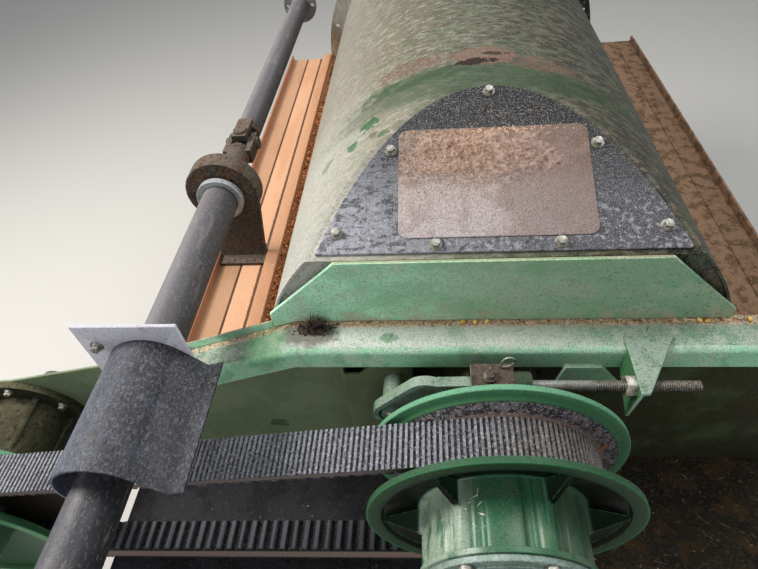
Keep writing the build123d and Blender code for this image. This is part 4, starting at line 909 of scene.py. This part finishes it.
# Adjuster rod: plain at the left, threaded from the middle to its end
rod = {
    "start": 0.0441,
    "end": 0.2719,
    "place": (-1.368, 0.117),
    "radius": 0.0079,
    "threadStart": 0.132,
    "pitch": 0.003,
    "groove": 0.0011,
    "chamfer": 0.0015,
    "sides": 24,
}
shape = bmesh.new()
profile = [(rod["start"], rod["radius"]), (rod["threadStart"], rod["radius"])]
at = rod["threadStart"] + rod["pitch"] / 2
while at < rod["end"] - rod["pitch"]:
    profile.append((at, rod["radius"] - rod["groove"]))
    profile.append((at + rod["pitch"] / 2, rod["radius"]))
    at += rod["pitch"]
profile += [(rod["end"] - rod["chamfer"], rod["radius"]), (rod["end"], rod["radius"] - rod["chamfer"]),
            (rod["end"], 0.0)]
profile.insert(0, (rod["start"], 0.0))
line = [shape.verts.new((x, rod["place"][0], rod["place"][1] + radius)) for x, radius in profile]
edges = [shape.edges.new(pair) for pair in zip(line, line[1:])]
bmesh.ops.spin(shape, geom=line + edges, cent=(0, *rod["place"]), axis=(1, 0, 0), dvec=(0, 0, 0),
               angle=2 * pi, steps=rod["sides"], use_merge=True)
bmesh.ops.remove_doubles(shape, verts=shape.verts, dist=0.00001)
bmesh.ops.recalc_face_normals(shape, faces=shape.faces)
piece("threadedRod", shape, coat("rodSteel", rodLook), "housing", smooth=60,
      replaces=("adjuster_rod",))

# Grains, chaff and straw where they lie
litter = {
    "grain": 0.0016,
    "grainStretch": ((0.5, 1.5), (0.4, 0.9), (0.3, 0.7)),
    "grainTilt": 0.3,
    "straw": (0.006, 0.022),
    "strawRadius": 0.0005,
    "strawWidth": (0.7, 1.5),
    "strawTilt": 0.12,
    "strawLean": (0.2, 1.5),  # where it stands up in a clump
}
ledge = {"top": 0.127, "wing": -0.31, "wingDrop": 0.076, "wingLength": 0.21}
beds = {  # where litter lies
    "seam": {"x": (-0.4, 0.59), "y": -1.257, "spread": 0.0048},
    "clump": {"middle": (-0.277, -1.273), "half": (0.03, 0.012), "height": 0.024},
    "flute": {"x": (-0.045, 0.006), "y": (-1.57, -1.52), "z": 0.1235},
    "plate": ((-0.055, 0.034), (0.17, 0.014), (0.0095, 0.012)),  # across, up the cover, above it
    "plateEdge": ((0.0, 0.055), (0.2045, 0.0026), 0.0055),
    "cover": ((0.0, 0.05), (0.215, 0.245), 0.004),
}
boxes = {  # along x, y and z: a number, a range, or a range and its likeliest value
    "gutter": ((-0.417, -0.379, -0.412), (-1.245, -0.3), (0, 0.009)),
    "ledge": ((-0.28, 0.59), (-1.303, -1.262), ledge["top"]),
    "pan": ((-0.68, 0.59), (-1.59, -1.26), -0.33),
    "clevis": ((-0.036, 0.016), (-1.39, -1.346), 0.137),
}
upward = (0, 0, 1)


def litterPaint(name, dark, middle, pale):
    paint = Paint(name)
    colour = paint.grade(paint.noise(140, 1.0, 0.5), [(0.32, *dark), (0.46, *middle), (0.62, *pale)])
    return paint.finish(colour, 0.8, paint.noise(700, 2.0, 0.6), 0.0003)


tanLitter = litterPaint("tanLitter", (124, 88, 60), (196, 156, 120), (236, 212, 178))
rustLitter = litterPaint("rustLitter", (74, 40, 22), (172, 100, 50), (228, 168, 112))
strawLitter = litterPaint("strawLitter", (176, 160, 130), (214, 200, 170), (236, 226, 202))
heapLitter = litterPaint("heapLitter", (136, 104, 84), (186, 150, 126), (222, 190, 160))
greyLitter = litterPaint("greyLitter", (66, 56, 48), (124, 106, 90), (176, 158, 138))
darkLitter = litterPaint("darkLitter", (24, 20, 24), (50, 42, 46), (112, 88, 72))


def strew(name, material, count, strawShare, where, size=1.0, flat=True, body="housing"):
    # where() gives a place and its normal
    shape = bmesh.new()
    for number in range(count):
        place, outward = where()
        if random.random() < strawShare:
            length = random.uniform(*litter["straw"]) * size
            radius = litter["strawRadius"] * random.uniform(*litter["strawWidth"])
            made = bmesh.ops.create_cone(shape, cap_ends=True, segments=3, radius1=radius,
                                         radius2=radius * 0.6, depth=length)
            if flat:
                tilt = pi / 2 + random.uniform(-litter["strawTilt"], litter["strawTilt"])
                lift = radius * 1.2
            else:
                tilt = random.uniform(*litter["strawLean"])
                lift = length * 0.2
            matrix = standing(Vector(place) + Vector(outward) * lift, outward,
                              random.uniform(0, 2 * pi), tilt)
        else:
            made = bmesh.ops.create_icosphere(shape, subdivisions=1, radius=litter["grain"] * size)
            stretch = [random.uniform(*span) for span in litter["grainStretch"]]
            turn = random.uniform(0, 2 * pi)
            tilt = random.uniform(-litter["grainTilt"], litter["grainTilt"])
            place = Vector(place) + Vector(outward) * litter["grain"] * size * 0.3
            matrix = standing(place, outward, turn, tilt) @ Matrix.Diagonal(stretch + [1.0])
        bmesh.ops.transform(shape, verts=made["verts"], matrix=matrix)
    return piece(name, shape, material, body, smooth=20)


def ledgeTop(x):
    past = max(0.0, ledge["wing"] - x)
    return ledge["top"] - ledge["wingDrop"] * past / ledge["wingLength"]


def onSlope(across, along, lift):
    return coverFoot + Vector((across, 0, 0)) + coverUp * along + coverOut * lift, coverOut


def inSeam():
    x = random.uniform(*beds["seam"]["x"])
    return (x, beds["seam"]["y"] - abs(random.gauss(0, beds["seam"]["spread"])), ledgeTop(x)), upward


def within(name):  # a place in one of the boxes
    def pick(span):
        if not isinstance(span, tuple):
            return span
        return random.uniform(*span) if len(span) == 2 else random.triangular(*span)
    return lambda: (tuple(pick(span) for span in boxes[name]), upward)


def inClump():
    bed = beds["clump"]
    reach = abs(random.gauss(0, 0.5))
    turn = random.uniform(0, 2 * pi)
    lift = max(0.0, bed["height"] * (1 - reach)) * random.uniform(0.2, 1.0)
    return (bed["middle"][0] + bed["half"][0] * reach * cos(turn),
            bed["middle"][1] + bed["half"][1] * reach * sin(turn), ledge["top"] + lift), upward


def onPlate():
    across, along, lift = beds["plate"]
    return onSlope(random.gauss(*across), random.gauss(*along), random.uniform(*lift))


def onPlateEdge():
    across, along, lift = beds["plateEdge"]
    return onSlope(random.gauss(*across), random.gauss(*along), lift)


def onCover():
    across, along, lift = beds["cover"]
    return onSlope(random.gauss(*across), random.uniform(*along), lift)


def inFlute():
    bed = beds["flute"]
    return (random.gauss(*bed["x"]), random.uniform(*bed["y"]), bed["z"]), (-0.3, 0, 1)


# Caked dust on the upper part of the plate
heap = {
    "middle": (-0.015, 0.166),
    "half": (0.118, 0.04),
    "height": 0.0075,
    "lift": 0.0052,
    "cells": (110, 44),
    "edge": 0.3,
    "steepness": 1.5,
    "level": 0.62,
    "sunkBelow": -0.06,
    "ragged": (34, 0.9, 2.2, 3, 0.55),  # scale, dimension, gap between octaves, octaves, share
    "lump": (95, 0.8, 2.1, 3, 0.3),
    "grain": (330, 0.8, 2.0, 2, 0.1),
}
heapLook = {
    "tone": ("x", [(-0.13, 176, 150, 138), (-0.03, 186, 156, 138), (0.04, 164, 138, 124),
                   (0.12, 150, 128, 118)]),
    "layers": [
        layer((136, 108, 92), 60, 0.4, 0.12, 0.5, height=0.6),
        layer((110, 84, 68), 170, 0.26, 0.08, 0.5, height=-0.8),
        layer((222, 196, 172), 240, 0.26, 0.08, 0.5, height=0.8, zone=("x", 0.03, -0.03)),
        grains((206, 190, 180), 520, 0.22, 0.1, 0.35, height=0.5),
    ],
    "rough": 0.9, "glint": 0.1, "depth": 0.0012,
}


def bumps(spot, scale, dimension, gap, octaves, share):
    return noise.fractal(spot * scale, dimension, gap, octaves) * share


shape = bmesh.new()
bmesh.ops.create_grid(shape, x_segments=heap["cells"][0], y_segments=heap["cells"][1], size=0.5)
sunk = []
for vert in shape.verts:
    across, along = vert.co.x * 2, vert.co.y * 2
    spot = Vector((across * heap["half"][0], along * heap["half"][1], 0.0))
    mound = 1.0 - max(abs(across) ** 3.0, abs(along) ** 2.2) + bumps(spot, *heap["ragged"])
    lumps = heap["level"] + bumps(spot, *heap["lump"])
    rise = min(1.0, max(-1.0, mound - heap["edge"]) * heap["steepness"]) * lumps
    if rise < heap["sunkBelow"]:
        sunk.append(vert)
    rise = rise + bumps(spot, *heap["grain"])
    vert.co = onSlope(heap["middle"][0] + spot.x, heap["middle"][1] + spot.y,
                      heap["lift"] + heap["height"] * rise)[0]
bmesh.ops.delete(shape, geom=sunk, context="VERTS")
bmesh.ops.recalc_face_normals(shape, faces=shape.faces)
piece("plateHeap", shape, coat("heapDust", heapLook), "housing", smooth=70)

strew("seamLitter", tanLitter, 800, 0.2, inSeam, 0.9)
strew("seamCrumbs", rustLitter, 420, 0.05, inSeam, 0.75)
strew("plateGrains", heapLitter, 700, 0.1, onPlate, 0.62)
strew("plateCrumbs", heapLitter, 260, 0.06, onPlateEdge, 0.85)
strew("coverCrumbs", greyLitter, 90, 0.08, onCover, 0.7)
strew("gutterLitter", rustLitter, 1300, 0.34, within("gutter"), 1.5)
strew("ledgeLitter", greyLitter, 150, 0.12, within("ledge"), 0.6)
strew("panLitter", greyLitter, 260, 0.5, within("pan"), 1.3)
strew("clump", darkLitter, 460, 0.22, inClump, 1.3, flat=False)
strew("clevisCrumbs", greyLitter, 30, 0.0, within("clevis"), 0.6)
strew("fluteStraw", strawLitter, 16, 0.5, inFlute, 0.55, body="driven_half")

kernelPaint = litterPaint("kernel", (206, 150, 60), (226, 178, 84), (240, 206, 130))
kernels = {
    "radius": 0.0042,
    "stretch": (1.15, 0.8, 0.62, 1.0),
    "height": 0.1292,
    "places": ((-0.045, -1.2605, 0.3), (-0.027, -1.2612, 1.2), (-0.009, -1.26, 0.7), (0.302, -1.261, 2.0),
               (0.312, -1.2625, 0.4), (0.372, -1.26, 1.4)),  # x, y, turn
}
shape = bmesh.new()
for x, y, turn in kernels["places"]:
    made = bmesh.ops.create_icosphere(shape, subdivisions=2, radius=kernels["radius"])
    place = standing((x, y, kernels["height"]), upward, turn) @ Matrix.Diagonal(kernels["stretch"])
    bmesh.ops.transform(shape, verts=made["verts"], matrix=place)
piece("kernels", shape, kernelPaint, "housing", smooth=80)
print("litter done")

# Hairpin that keeps the clevis pin, a bent wire standing on the clevis
hairpin = {
    "wire": 0.0013,
    "station": -1.352,
    "line": [(0.0, 0.1385), (0.002, 0.15), (0.008, 0.162), (0.019, 0.161), (0.022, 0.15), (0.014, 0.1405),
             (0.004, 0.1395)],
}
pinCurve = bpy.data.curves.new("hairpin", "CURVE")
pinCurve.dimensions = "3D"
pinCurve.bevel_depth = hairpin["wire"]
pinCurve.bevel_resolution = 2
pinSpline = pinCurve.splines.new("NURBS")
pinSpline.points.add(len(hairpin["line"]) - 1)
for point, (x, z) in zip(pinSpline.points, hairpin["line"]):
    point.co = (x, hairpin["station"], z, 1.0)
pinSpline.order_u = 3
pinSpline.use_endpoint_u = True
pinCurve.materials.append(boltPaint)
pinObject = objectOf("hairpin", pinCurve)
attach(pinObject, "housing")

# Floor, world, lamps and camera
print("room, lamps and camera")
floorShape = bmesh.new()
bmesh.ops.create_grid(floorShape, x_segments=1, y_segments=1, size=room["floorSize"] / 2)
bmesh.ops.translate(floorShape, verts=floorShape.verts, vec=(0, 0, room["floorHeight"]))
floorMesh = meshOf("floor", floorShape)
floorMesh.materials.append(Paint("floorPaint").finish(tint(*room["floorColour"]), 0.9))
floor = objectOf("floor", floorMesh)

world = bpy.data.worlds.new("studio")
world.use_nodes = True
world.node_tree.nodes["Background"].inputs["Color"].default_value = tint(*room["worldColour"])
world.node_tree.nodes["Background"].inputs["Strength"].default_value = room["worldLevel"]
bpy.context.scene.world = world

for lampName, (place, target, size, watts, colour) in lamps.items():
    lampData = bpy.data.lights.new(lampName, "AREA")
    lampData.size = size
    lampData.energy = watts
    lampData.color = colour
    lamp = objectOf(lampName, lampData)
    lamp.location = place
    lamp.rotation_euler = (Vector(target) - Vector(place)).to_track_quat("-Z", "Y").to_euler()

pitch, yaw, roll = shot["pitch"], shot["yaw"], shot["roll"]
spin = Matrix.Rotation(yaw, 3, "Z")
ahead = spin @ Vector((0, cos(pitch), -sin(pitch)))
level = spin @ Vector((1, 0, 0))
below = spin @ Vector((0, -sin(pitch), -cos(pitch)))
right = cos(roll) * level + sin(roll) * below
down = cos(roll) * below - sin(roll) * level
cameraData = bpy.data.cameras.new("camera")
cameraData.lens = shot["lens"]
cameraData.sensor_width = 36.0
cameraData.sensor_fit = "HORIZONTAL"
cameraData.clip_start = 0.01
camera = objectOf("camera", cameraData)
camera.matrix_world = Matrix.Translation(shot["place"]) @ Matrix((right, -down, -ahead)).transposed().to_4x4()
bpy.context.scene.camera = camera
bpy.context.scene.view_settings.view_transform = "Standard"

print("done")
